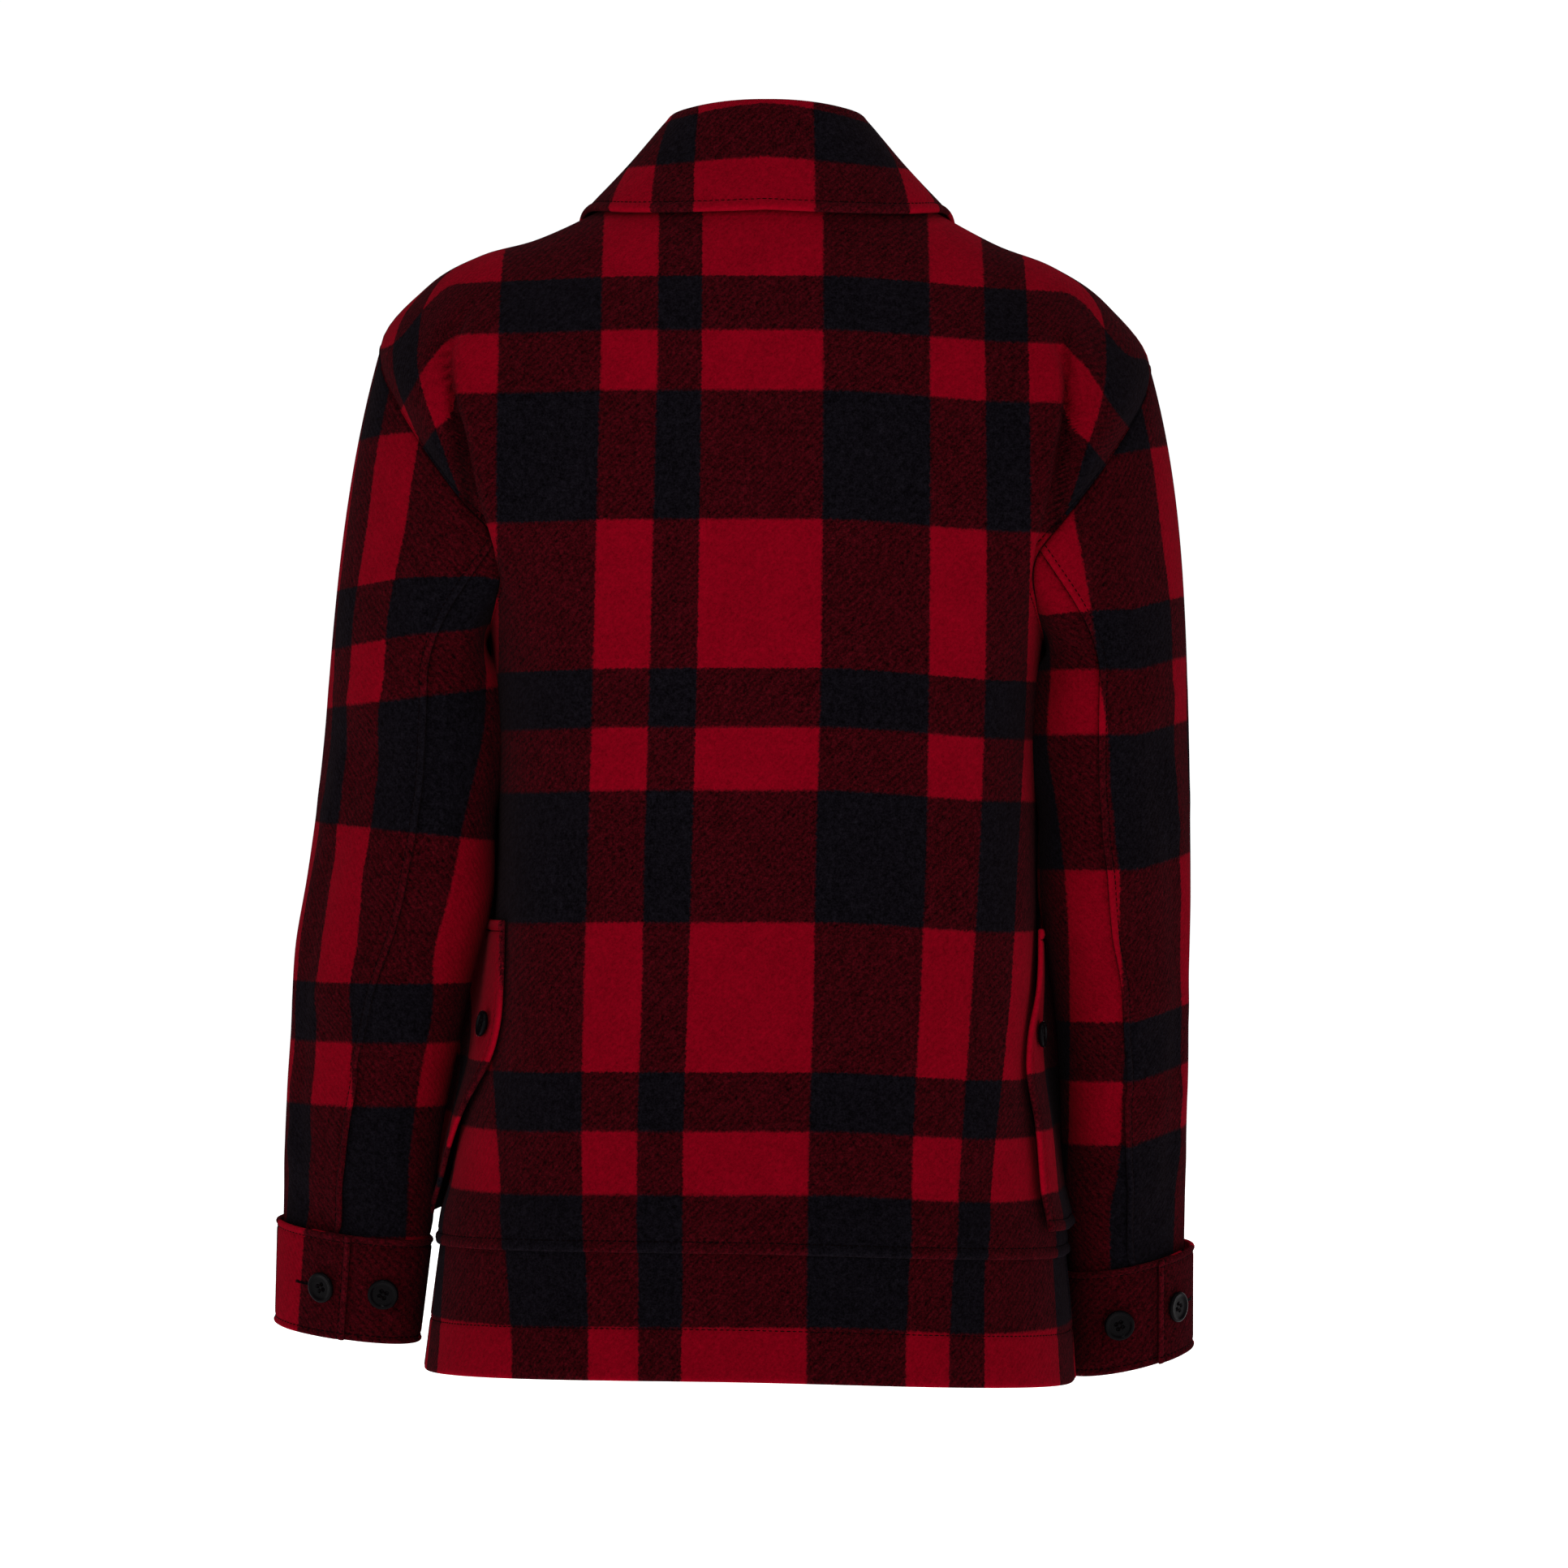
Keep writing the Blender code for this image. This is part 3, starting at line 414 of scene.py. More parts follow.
def sleeve_point(side, turn, way):
    """Outer face of a sleeve. Way is 0 to 1 over the cap, then 1 to 2 from there to the end."""
    turn, way = np.broadcast_arrays(wrap_turn(turn), np.asarray(way, float))
    angle, down = armhole_place(turn)
    start = body_point(side * angle, down)
    whole = sleeve_section(side, turn, way_below(side, way))
    finish = sleeve_section(side, turn, np.full_like(way, CAP_END))
    lower = sleeve_section(side, turn, np.full_like(way, CAP_END + 10.0))
    length = np.linalg.norm(finish - start, axis=-1, keepdims=True)
    slope = np.radians(74 - 26 * ease(np.abs(turn), 20, 160))[..., None]
    leave = np.concatenate([side * np.cos(slope), 0 * slope, -np.sin(slope)], axis=-1) * length
    arrive = unit(lower - finish) * length
    t = np.clip(way, 0, 1)[..., None]
    cap = (1 + 2 * t) * (1 - t) ** 2 * start + t * (1 - t) ** 2 * leave
    cap = cap + t * t * (3 - 2 * t) * finish + t * t * (t - 1) * arrive
    return np.where((way <= 1)[..., None], cap, whole)


def sleeve_normal(side, turn, way):
    """Outward normal of a sleeve's outer face."""
    way = np.asarray(way, dtype=float)
    round_way = sleeve_point(side, turn + 1.5, way) - sleeve_point(side, turn - 1.5, way)
    down_way = sleeve_point(side, turn, way + 0.02) - sleeve_point(side, turn, np.maximum(way - 0.02, 0))
    return unit(np.cross(round_way, down_way) * -side)


def seam_offset(normal_a, normal_b, wall=WALL):
    """From the outer to the inner edge of a seam that two pieces share, as a mitre."""
    middle = unit(normal_a + normal_b)
    reach = 1 / np.maximum(np.sum(middle * normal_a, axis=-1, keepdims=True), 0.5)
    return -middle * reach * wall


def draw_in(points, normals):
    """Moves a grid's four edges in along the cloth, so that no two pieces share a face."""
    moved = points.copy()
    for axis in (0, 1):
        for edge, step in ((0, 1), (-1, -1)):
            rim = np.take(points, edge, axis=axis)
            inside = np.take(points, edge + step, axis=axis)
            normal = np.take(normals, edge, axis=axis)
            along = unit(np.gradient(rim, axis=0))
            inward = unit(np.cross(normal, along))
            sign = np.sign(np.sum(inward * (inside - rim), axis=-1, keepdims=True))
            shift = inward * sign * EDGE_DRAW
            if axis == 0:
                moved[edge] += shift
            else:
                moved[:, edge] += shift
    return moved


def edge_angle(down, front):
    """Angle of a panel's outer edge: the shoulder ridge, the armhole or the side seam."""
    middle = (ARMHOLE_TOP + ARMHOLE_BOTTOM) / 2
    reach = (ARMHOLE_BOTTOM - ARMHOLE_TOP) / 2
    turn = np.degrees(np.arccos(np.clip((middle - down) / reach, -1, 1)))
    angle, _ = armhole_place(-turn if front else turn)
    inside = (down > ARMHOLE_TOP) & (down < ARMHOLE_BOTTOM)
    return np.where(inside, angle, 90.0)


def armhole_offset(side, turn):
    """Seam offset shared by the body and the sleeve at the armhole."""
    angle, down = armhole_place(turn)
    body = body_normal(side * angle, down)
    sleeve = sleeve_normal(side, turn, 0.0)
    return seam_offset(body, sleeve)


def back_rise(down):
    """How far the back lies out over the band along its lower edge."""
    return LAP_RISE * ease(down, 618, 645)


# Collar from the centre back to its front end: the neck seam, the roll and the outer edge
COLLAR = table(
    "part seam_angle edge_angle stand lean edge_down edge_lift",
    [
        (0.00, 0, 0, 34.5, 7, 36, 3.4),
        (0.25, 44, 43, 35.5, 11, 39, 2.6),
        (0.50, 88, 86, 37, 18, 36, 1.6),
        (0.72, 126, 117, 34, 13, 51, 1.6),
        (0.88, 153, 136, 29, 8, 67, 1.8),
        (1.00, 170, 149, 24, 6, 80, 2.4),
    ],
)
ROLL_RADIUS = 3.4
COLLAR_WALL = 2.8 * MM
COLLAR_GAP = 0.7 * MM


def collar_point(part, way):
    """Under face of the collar: part is -1 to 1 round the neck, way 0 at the seam to 1 at the edge."""
    side = np.sign(part)
    part = np.abs(part)
    seam_angle = between(COLLAR, "seam_angle", part)
    edge_angle_here = between(COLLAR, "edge_angle", part)
    seam = body_point(side * seam_angle, 0.0)
    edge = body_skin(
        side * edge_angle_here,
        between(COLLAR, "edge_down", part),
        between(COLLAR, "edge_lift", part) * MM,
    )
    stand = between(COLLAR, "stand", part)
    lean = between(COLLAR, "lean", part)
    direction = np.radians(side * (seam_angle * 0.5 + edge_angle_here * 0.5))
    out = np.stack([np.sin(direction), np.cos(direction), 0 * direction], axis=-1)

    def place(outward, height):
        return seam + out * (outward * MM)[..., None] + UP * (height * MM)[..., None]

    roll_out = place(-lean + 2 * ROLL_RADIUS, stand - ROLL_RADIUS)
    fall = edge - roll_out
    controls = [
        seam + UP * COLLAR_GAP,
        place(-lean * 0.75, stand * 0.5),
        place(-lean, stand - ROLL_RADIUS),
        place(-lean + ROLL_RADIUS, stand + 0 * lean),
        roll_out,
        roll_out + fall * 0.5 - out * 0.001,
        edge,
    ]
    places = np.array([0.0, 0.2, 0.38, 0.44, 0.5, 0.75, 1.0])
    slopes = np.gradient(np.stack(controls), places, axis=0)
    way = np.asarray(way, dtype=float)
    i = np.clip(np.searchsorted(places, way, side="right") - 1, 0, len(places) - 2)
    span = (places[i + 1] - places[i])[..., None]
    t = ((way - places[i]) / span[..., 0])[..., None]
    controls = np.stack(controls)
    pick = np.arange(way.shape[0])
    first = controls[i, pick] if controls.ndim == 3 else controls[i]
    second = controls[i + 1, pick]
    slope_a = slopes[i, pick]
    slope_b = slopes[i + 1, pick]
    point = (1 + 2 * t) * (1 - t) ** 2 * first + t * (1 - t) ** 2 * span * slope_a
    return point + t * t * (3 - 2 * t) * second + t * t * (t - 1) * span * slope_b


def collar_grid(parts, ways):
    """Under face of the collar on a grid and its unit normals toward the visible face."""
    grid_parts, grid_ways = np.meshgrid(parts, ways)
    shape = grid_parts.shape
    flat_parts = grid_parts.ravel()
    flat_ways = grid_ways.ravel()
    points = collar_point(flat_parts, flat_ways).reshape(*shape, 3)
    way_after = np.minimum(flat_ways + 0.01, 1.0)
    way_before = np.maximum(flat_ways - 0.01, 0.0)
    along = collar_point(flat_parts, way_after) - collar_point(flat_parts, way_before)
    part_after = np.minimum(flat_parts + 0.01, 1.0)
    part_before = np.maximum(flat_parts - 0.01, -1.0)
    across = collar_point(part_after, flat_ways) - collar_point(part_before, flat_ways)
    normals = unit(np.cross(across, along)).reshape(*shape, 3)
    return points, normals


def neck_offset(angle):
    """Seam offset shared by the body and the collar's stand."""
    direction = np.radians(angle)
    outward = np.stack([np.sin(direction), np.cos(direction), 0 * direction], axis=-1)
    return seam_offset(body_normal(angle, 0.0 * angle), outward)


def front_reach(down):
    """Degrees from the centre front to the end of the overlap."""
    half_width = between(BODY, "half_width", down) * MM
    return np.degrees(np.arcsin(FRONT_OVERLAP / half_width))


def front_lift(angle, down):
    """How far the left front lies out over the right one, in metres."""
    reach = front_reach(down)
    return FRONT_RISE * ease(angle, 180 - 1.9 * reach, 180 - 1.2 * reach)


# Where each cuff's upper end lies, and its two buttons: angle, way below the top, upper layer or not
CUFF_EDGE = {1: 93.0, -1: 66.0}
CUFF_UNDERLAP = 33.0
CUFF_BUTTONS = {
    1: ((75.5, 33.5, True), (120.5, 33.5, False)),
    -1: ((50.0, 32.0, True), (101.0, 34.5, False)),
}


def cuff_point(side, sweep, below):
    """Outer face of a cuff; sweep runs from the under end once round to the upper end."""
    finish = CUFF_EDGE[side] + 360.0
    rise = CUFF_RISE / MM * ease(sweep, finish - 105, finish - CUFF_UNDERLAP - 6)
    return section_point(side, sweep, below, LAP_RISE / MM + 0.5 + rise)


def cuff_normal(side, sweep, below):
    """Outward normal of a cuff's outer face."""
    return -side * face_normal(partial(cuff_point, side), sweep, below, 2.0, 2.0)


# Pockets wrap round the side from a free rear edge. Angles and lifts of that edge by side
POCKET = table(
    "down rear_left rear_right lift_left lift_right full_left full_right",
    [
        (464, 60, 70, 0.5, 2.0, 0, 0),
        (500, 57, 66, 1.0, 3.0, 9, 9),
        (527, 56, 61, 1.0, 1.5, 15, 13.5),
        (545, 57, 59, 2.0, 2.0, 15.5, 14.5),
        (580, 66, 60, 4.0, 4.0, 16.5, 12.5),
        (615, 76, 60, 3.5, 4.0, 14, 9.5),
        (645, 86, 60, 2.0, 4.0, 8, 7.5),
    ],
)
POCKET_FULL_ANGLE = 112.0
POCKET_FULL_SPREAD = 18.0
POCKET_FRONT_ANGLE = 143.0
POCKET_TOP_DOWN = 464.0
POCKET_BOTTOM_DOWN = 645.0


def pocket_skin(side, angle, down):
    """Outer face of a pocket; its rear edge stands off the body."""
    name = SIDES[side]
    rear = between(POCKET, "rear_" + name, down)
    stand_off = between(POCKET, "lift_" + name, down) * (1 - ease(angle, rear, rear + 32))
    over_lap = back_rise(down) * (1 - ease(angle, 92, 104))
    full = between(POCKET, "full_" + name, down)
    full = full * swell(angle, POCKET_FULL_ANGLE, POCKET_FULL_SPREAD)
    lift = WALL + POCKET_GAP + (stand_off + full) * MM + over_lap
    return body_skin(side * angle, down, lift)


def pocket_normal(side, angle, down):
    """Outward normal of a pocket's outer face."""
    return side * face_normal(partial(pocket_skin, side), angle, down, 1.0, 2.0)


# Where the cloth has rows of points beside a sewn edge or line, and the step between them elsewhere
EDGE_STEPS = np.array([0.0, 0.6, 1.3, 2.2, 3.3, 4.4, 5.4, 6.4, 7.4, 8.8]) * MM
LINE_STEPS = np.array([-3.2, -2.0, -1.0, 0.0, 1.0, 2.0, 3.2]) * MM
LINE_REACH = 4.2 * MM
CLOTH_STEP = 5.0 * MM
SEW_EDGE = 6.8 * MM
SEW_SEAM = 4.6 * MM
SEW_CUFF = 4.2 * MM
HEM_TURN = 31.0 * MM

# How the cloth's face moves at rims and sewn lines, and how far the marks beside them reach: lighter
# free edges, and shade painted in the hollows of seams
RIM_REACH = 1.3 * MM
RIM_DEPTH = 0.95 * MM
SEWN_RELIEF = 0.7 * MM
SEWN_SPREAD = 1.3 * MM
FULL_LINE = 12 * MM
SEAM_SHADE_REACH = 1.5 * MM
NAP_MARK = 1.4 * MM


def spaced(length, start=True, finish=True, line=None, step=CLOTH_STEP):
    """Places from 0 to 1 along a length of cloth, close together beside its sewn edges and lines."""
    low = EDGE_STEPS if start else EDGE_STEPS[:1]
    high = length - (EDGE_STEPS if finish else EDGE_STEPS[:1])[::-1]
    count = max(int((high[0] - low[-1]) / step), 1)
    places = np.concatenate([low, np.linspace(low[-1], high[0], count + 1)[1:-1], high])
    if line is not None:
        places = places[np.abs(places - line) > LINE_REACH]
        places = np.sort(np.concatenate([places, line + LINE_STEPS]))
    return places / length


def rim_distances(points):
    """Distance of each point of a grid from each of its four rims, along the cloth."""
    rows = np.linalg.norm(np.diff(points, axis=0), axis=-1)
    columns = np.linalg.norm(np.diff(points, axis=1), axis=-1)
    from_top = np.concatenate([np.zeros((1, rows.shape[1])), np.cumsum(rows, axis=0)])
    from_left = np.concatenate([np.zeros((columns.shape[0], 1)), np.cumsum(columns, axis=1)], axis=1)
    return {
        "top": from_top,
        "bottom": from_top[-1:] - from_top,
        "left": from_left,
        "right": from_left[:, -1:] - from_left,
    }


def rim_round(distance):
    """How far a face falls away at a rim, so that the edge of the cloth is round."""
    near = 1 - np.clip(distance / RIM_REACH, 0, 1)
    return RIM_DEPTH * (1 - np.sqrt(1 - 0.97 * near**2))


def sewn_relief(distances, lines):
    """How far the outer face moves: round at rims, full beside them, pressed in where it is sewn."""
    total = -rim_round(np.minimum.reduce(list(distances.values())))
    for rim, line in lines.items():
        distance = distances[rim]
        share = np.clip(distance / line, 0, 1)
        total = total + SEWN_RELIEF * np.sin(np.pi * share) * (line < FULL_LINE)
        total = total - SEWN_RELIEF * swell(distance, line, SEWN_SPREAD)
    return total


def closed_mesh(name, points, faces, sharp):
    """A mesh with its faces turned outward, smooth except at edges sharper than an angle."""
    mesh = bpy.data.meshes.new(name)
    mesh.from_pydata(points.tolist(), [], faces)
    shape = bmesh.new()
    shape.from_mesh(mesh)
    bmesh.ops.recalc_face_normals(shape, faces=shape.faces)
    shape.to_mesh(mesh)
    shape.free()
    mesh.polygons.foreach_set("use_smooth", np.ones(len(mesh.polygons), dtype=bool))
    mesh.set_sharp_from_angle(angle=math.radians(sharp))
    return mesh


def linked(name, data):
    """An object for a mesh, light or camera, in the scene."""
    made = bpy.data.objects.new(name, data)
    bpy.context.scene.collection.objects.link(made)
    return made


def wall_mesh(name, outer, inner, cloth_map, edge_and_painted_shade):
    """Closed wall between two grids, with the cloth's map in metres and a mark near its rims for lighter
    edges and painted shade.
    """
    rows, columns = outer.shape[:2]
    count = rows * columns
    index = np.arange(count).reshape(rows, columns)
    a, b, c, d = index[:-1, :-1], index[:-1, 1:], index[1:, 1:], index[1:, :-1]
    out = np.stack([a, b, c, d], axis=-1).reshape(-1, 4)
    rim = np.concatenate([index[0, :-1], index[:-1, -1], index[-1, :0:-1], index[:0:-1, 0]])
    after = np.roll(rim, -1)
    side = np.stack([after, rim, rim + count, after + count], axis=-1)
    faces = np.concatenate([out, out[:, ::-1] + count, side])
    points = np.concatenate([outer.reshape(-1, 3), inner.reshape(-1, 3)])
    mesh = closed_mesh(name, points, faces.tolist(), sharp=60)
    corners = np.zeros(len(mesh.loops), dtype=np.int32)
    mesh.loops.foreach_get("vertex_index", corners)
    flat_map = np.concatenate([cloth_map.reshape(-1, 2)] * 2)
    layer = mesh.uv_layers.new(name="cloth_map")
    layer.data.foreach_set("uv", flat_map[corners].astype(np.float32).ravel())
    mark = mesh.attributes.new("edge_and_painted_shade", "FLOAT", "POINT")
    mark.data.foreach_set("value", np.concatenate([edge_and_painted_shade.ravel()] * 2).astype(np.float32))
    return linked(name, mesh)


SEWN_LINES = []


def keep_line(points, normals, distances, rim, line, keep=slice(None)):
    """Keeps the way that a sewn line takes over a grid, at a distance from one of its rims."""
    distance = distances[rim]
    if rim in ("left", "right"):
        points, normals, distance = points.swapaxes(0, 1), normals.swapaxes(0, 1), distance.T
    if rim in ("bottom", "right"):
        points, normals, distance = points[::-1], normals[::-1], distance[::-1]
    places = np.arange(distance.shape[0])
    way = []
    for j in range(distance.shape[1]):
        at = np.interp(line, distance[:, j], places)
        low = min(int(at), len(places) - 2)
        share = at - low
        point = points[low, j] * (1 - share) + points[low + 1, j] * share
        normal = unit(normals[low, j] * (1 - share) + normals[low + 1, j] * share)
        way.append(np.concatenate([point, normal]))
    SEWN_LINES.append(np.array(way)[keep])


def edge_and_seam_shade(distances, seams):
    """Up to 1 at free edges, which it makes lighter, and down to -1 in the hollows of seams, where it
    paints shade.
    """
    mark = 0.0
    # Seams get shade painted in their hollows; free edges are made lighter
    for rim, distance in distances.items():
        if rim in seams:
            mark = mark - np.exp(-distance / SEAM_SHADE_REACH)
        else:
            mark = mark + np.exp(-distance / NAP_MARK)
    return np.clip(mark, -1, 1)


def cloth_piece(
    name, node, points, normals, cloth_map, lines, offsets=None, sewn=None, seams=(),
    mark=0.0
):
    """A finished piece of cloth that stands for one of the solids.

    Lines say how far in from each sewn rim its thread runs, and sewn which rims and which part of
    them show thread, all lines if it isn't given. Offsets lead from the outer to the inner face.
    Seams are rims joined to another piece, whose hollows get painted shade, and mark, painted shade on
    the back and lighter edges on the cuffs, is added to the mark near the rims.
    """
    offsets = -normals * WALL if offsets is None else offsets
    distances = rim_distances(points)
    outer = draw_in(points, normals)
    nearest = np.minimum.reduce(list(distances.values()))
    inner = outer + offsets + normals * rim_round(nearest)[..., None]
    outer = outer + normals * sewn_relief(distances, lines)[..., None]
    for rim, keep in (sewn or {rim: slice(None) for rim in lines}).items():
        keep_line(outer, normals, distances, rim, lines[rim], keep)
    edge_and_painted_shade = np.clip(edge_and_seam_shade(distances, seams) + mark, -1, 1)
    made = wall_mesh(name, outer, inner, cloth_map, edge_and_painted_shade)
    made.data.materials.append(plaid_material())
    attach(made, "root")
    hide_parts(node)
    return made


# How the cloth's map is laid on the body: metres of cloth across and down
REACH_DOWN = np.linspace(0.0, 745.0, 150)
REACH_ANGLE = np.linspace(0.0, 180.0, 181)
LEVEL_DOWN = 300.0


def ring_lengths():
    """Length of cloth round the body from the centre back, by way down, angle and side."""
    kept = {}
    for side in (1, -1):
        points = body_point(side * REACH_ANGLE[None, :], REACH_DOWN[:, None])
        steps = np.linalg.norm(np.diff(points[..., :2], axis=1), axis=-1)
        kept[side] = np.concatenate([np.zeros((len(REACH_DOWN), 1)), np.cumsum(steps, axis=1)], axis=1)
    return kept


def level_lengths(front):
    """Height and length of cloth down the centre of the back or the front."""
    points = body_point(180.0 if front else 0.0, REACH_DOWN)
    steps = np.hypot(np.diff(points[:, 1]), np.diff(points[:, 2]))
    run = np.concatenate([[0.0], np.cumsum(steps)])
    level = int(np.argmin(np.abs(REACH_DOWN - LEVEL_DOWN)))
    return -points[:, 2], run - run[level] - points[level, 2]


def look_up(values, rows, columns, row, column):
    """Values of a grid between its rows and columns."""
    i = np.clip(np.interp(row, rows, np.arange(len(rows))), 0, len(rows) - 1.001)
    j = np.clip(np.interp(column, columns, np.arange(len(columns))), 0, len(columns) - 1.001)
    a = i.astype(int)
    b = j.astype(int)
    s = i - a
    t = j - b
    top = values[a, b] * (1 - t) + values[a, b + 1] * t
    low = values[a + 1, b] * (1 - t) + values[a + 1, b + 1] * t
    return top * (1 - s) + low * s


RING_LENGTHS = ring_lengths()
LEVEL_LENGTHS = {front: level_lengths(front) for front in (False, True)}

# The plaid: where its bands change, along one repeat, and where a piece's map begins
WARP_LENGTH = 197.8
WARP_REPEAT = WARP_LENGTH * MM
WEFT_REPEAT = 240.4 * MM
WARP_BANDS = (("red", 0.0), ("black", 74.3), ("red", 137.3), ("black", 170.3))
WARP_EDGES = tuple(place for _, place in WARP_BANDS)
FIRST_BLACK, SECOND_RED, SECOND_BLACK = WARP_EDGES[1:]
BAND_BLUR = 0.5 * MM
WEFT_BANDS = (("black", 0.0), ("red", 35.8), ("black", 73.3), ("red", 152.0))
BACK_WEFT_START = 308.5 * MM
FRONT_WARP_START = 37.0 * MM
SHOULDER_START = {1: 0.188, -1: 0.180}
SHOULDER_TURN = 0.044
SHOULDER_DROP = 36.0 * MM
RIGHT_DROP = 7 * MM
LEFT_DROP = 1.5 * MM
ARMHOLE_TURNS = np.linspace(0.0, 180.0, 49)


def arc_round(angle, down):
    """Length of cloth from the centre back to an angle, the wearer's left positive."""
    left = look_up(RING_LENGTHS[1], REACH_DOWN, REACH_ANGLE, down, np.abs(angle))
    right = look_up(RING_LENGTHS[-1], REACH_DOWN, REACH_ANGLE, down, np.abs(angle))
    return np.where(angle >= 0, left, -right)


# Where the edges of the warp's bands cross the back, from the wearer's left to the right
BACK_LINES = table(
    "depth a b c d e f g h",
    [
        (122, 161, 99, 65, 39, -34, -98, -131, -157),
        (326, 164, 104, 70, 42, -32, -97, -131, -157),
        (433, 170, 107, 73, 45, -29, -95, -127, -151),
        (501, 169, 109, 74, 47, -28, -92, -123, -147),
        (603, 161, 110, 77, 50, -25, -87, -116, -136),
        (676, 155, 107, 76, 50, -24, -85, -111, -130),
        (715, 152, 106, 76, 51, -24, -83, -109, -130),
    ],
)
BACK_LINE_WARP = (*(place - WARP_LENGTH for place in WARP_EDGES[1:]), *WARP_EDGES, WARP_LENGTH)

# Fold behind each armhole: how far from the middle it lies, and the cloth hidden in it across and down
CREASE = table(
    "depth left right hidden drop",
    [
        (90, 196, 184, 0, 0),
        (120, 192, 181, 12, 6),
        (150, 188, 180, 24, 14),
        (185, 184, 177, 36, 17),
        (215, 178, 175, 42, 17),
        (250, 176, 173, 42, 17),
    ],
)


CREASE_BLEND = 2.6
CREASE_SHADE = 3.0


def beyond_crease(points):
    """1 outside the fold behind the left and the right armhole, 0 inside it."""
    depth = -points[..., 2] / MM
    across = points[..., 0] / MM
    left = between(CREASE, "left", depth)
    right = between(CREASE, "right", depth)
    low = 1 - ease(depth, 240, 290)
    beyond_left = ease(across, left - CREASE_BLEND, left + CREASE_BLEND)
    beyond_right = ease(-across, right - CREASE_BLEND, right + CREASE_BLEND)
    return low * beyond_left, low * beyond_right


def crease_painted_shade(points):
    """Painted shade, down to -1 along the fold behind each armhole, where the cloth meets itself."""
    depth = -points[..., 2] / MM
    across = points[..., 0] / MM
    left = swell(across, between(CREASE, "left", depth), CREASE_SHADE)
    right = swell(-across, between(CREASE, "right", depth), CREASE_SHADE)
    return -(left + right) * ease(depth, 85, 140) * (1 - ease(depth, 250, 285))


def weft_place(points, front):
    """Metres of cloth down: level rows, which fall away over the ends of the shoulders."""
    across = points[..., 0]
    left = ease(across, SHOULDER_START[1], SHOULDER_START[1] + SHOULDER_TURN)
    right = ease(-across, SHOULDER_START[-1], SHOULDER_START[-1] + SHOULDER_TURN)
    above = ease(points[..., 2], -0.25, -0.17)
    depths, lengths = LEVEL_LENGTHS[front]
    level = np.interp(-points[..., 2], depths, lengths)
    level = level - SHOULDER_DROP * (left + right) * above
    if front:
        return level
    folded = sum(beyond_crease(points)) * between(CREASE, "drop", -points[..., 2] / MM) * MM
    right_drop = RIGHT_DROP * ease(-across, 0.03, 0.155)
    return level - folded - right_drop - LEFT_DROP * ease(across, 0.08, 0.155)


def line_end_arcs():
    """Length of cloth round from the centre back to the outermost plaid lines, by way down."""
    kept = {}
    for side, line in ((1, "a"), (-1, "h")):
        points = body_point(side * REACH_ANGLE[None, :91], REACH_DOWN[:, None])
        arcs = []
        for row, lengths in zip(points, RING_LENGTHS[side]):
            place = side * between(BACK_LINES, line, -row[45, 2] / MM) * MM
            last = int(np.argmax(side * row[:, 0])) + 1
            arcs.append(np.interp(place, side * row[:last, 0], lengths[:last]))
        kept[side] = np.array(arcs)
    return kept


def back_map(angle, down):
    """Metres of cloth across and down on the back, its band and the pockets."""
    points = body_point(angle, down)
    across = np.where(np.abs(angle) > 90, np.sign(angle) * 400, points[..., 0] / MM)
    depth = -points[..., 2] / MM
    lines = [between(BACK_LINES, key, depth) for key in "abcdefgh"]
    warp = BACK_LINE_WARP[0] + 0.0 * across
    for k in range(len(lines) - 1):
        share = np.clip((lines[k] - across) / (lines[k] - lines[k + 1]), 0, 1)
        warp = warp + share * (BACK_LINE_WARP[k + 1] - BACK_LINE_WARP[k])
    arc = arc_round(angle, down)
    left_end = np.interp(down, REACH_DOWN, LINE_END_ARCS[1])
    right_end = np.interp(down, REACH_DOWN, LINE_END_ARCS[-1])
    left, right = beyond_crease(points)
    hidden = between(CREASE, "hidden", depth)
    warp = warp * MM + np.clip(-arc - right_end, 0, None) - np.clip(arc - left_end, 0, None)
    warp = warp + (right - left) * hidden * MM
    return np.stack([warp, weft_place(points, False) - BACK_WEFT_START], axis=-1)


LINE_END_ARCS = line_end_arcs()


def front_map(angle, down):
    """Metres of cloth across and down on the fronts, matched at the centre front."""
    points = body_point(angle, down)
    share = ease(down, 90, 290)
    turn = np.where(angle < 0, angle + 360, angle)
    whole = look_up(RING_LENGTHS[1], REACH_DOWN, REACH_ANGLE, down, 180.0 + 0 * turn)
    left = whole - look_up(RING_LENGTHS[1], REACH_DOWN, REACH_ANGLE, down, np.minimum(turn, 180))
    whole = look_up(RING_LENGTHS[-1], REACH_DOWN, REACH_ANGLE, down, 180.0 + 0 * turn)
    right = whole - look_up(RING_LENGTHS[-1], REACH_DOWN, REACH_ANGLE, down, np.minimum(360 - turn, 180))
    arc = np.where(turn <= 180, left, -right)
    across = points[..., 0] * 1.02 * (1 - share) + arc * share
    return np.stack([FRONT_WARP_START - across, weft_place(points, True) - BACK_WEFT_START], axis=-1)


def body_rows(last, bottom_line=None):
    """Ways down of a body panel's rows, and which of them run beside the armhole."""
    top = spaced(ARMHOLE_TOP * MM, True, False) * ARMHOLE_TOP
    _, armhole = armhole_place(ARMHOLE_TURNS)
    length = (last - ARMHOLE_BOTTOM) * MM
    line = None if bottom_line is None else length - bottom_line
    side = ARMHOLE_BOTTOM + spaced(length, False, True, line) * (last - ARMHOLE_BOTTOM)
    rows = np.concatenate([top[:-1], armhole, side[1:]])
    return rows, slice(len(top) - 1, len(top) - 1 + len(ARMHOLE_TURNS))


def spread_rows(downs, beside, closeness):
    """Ways down on a panel's grid: the armhole rows open out evenly away from the armhole."""
    even = downs.copy()
    even[beside] = np.linspace(ARMHOLE_TOP, ARMHOLE_BOTTOM, len(ARMHOLE_TURNS))
    return even[:, None] + (downs - even)[:, None] * closeness[None, :]


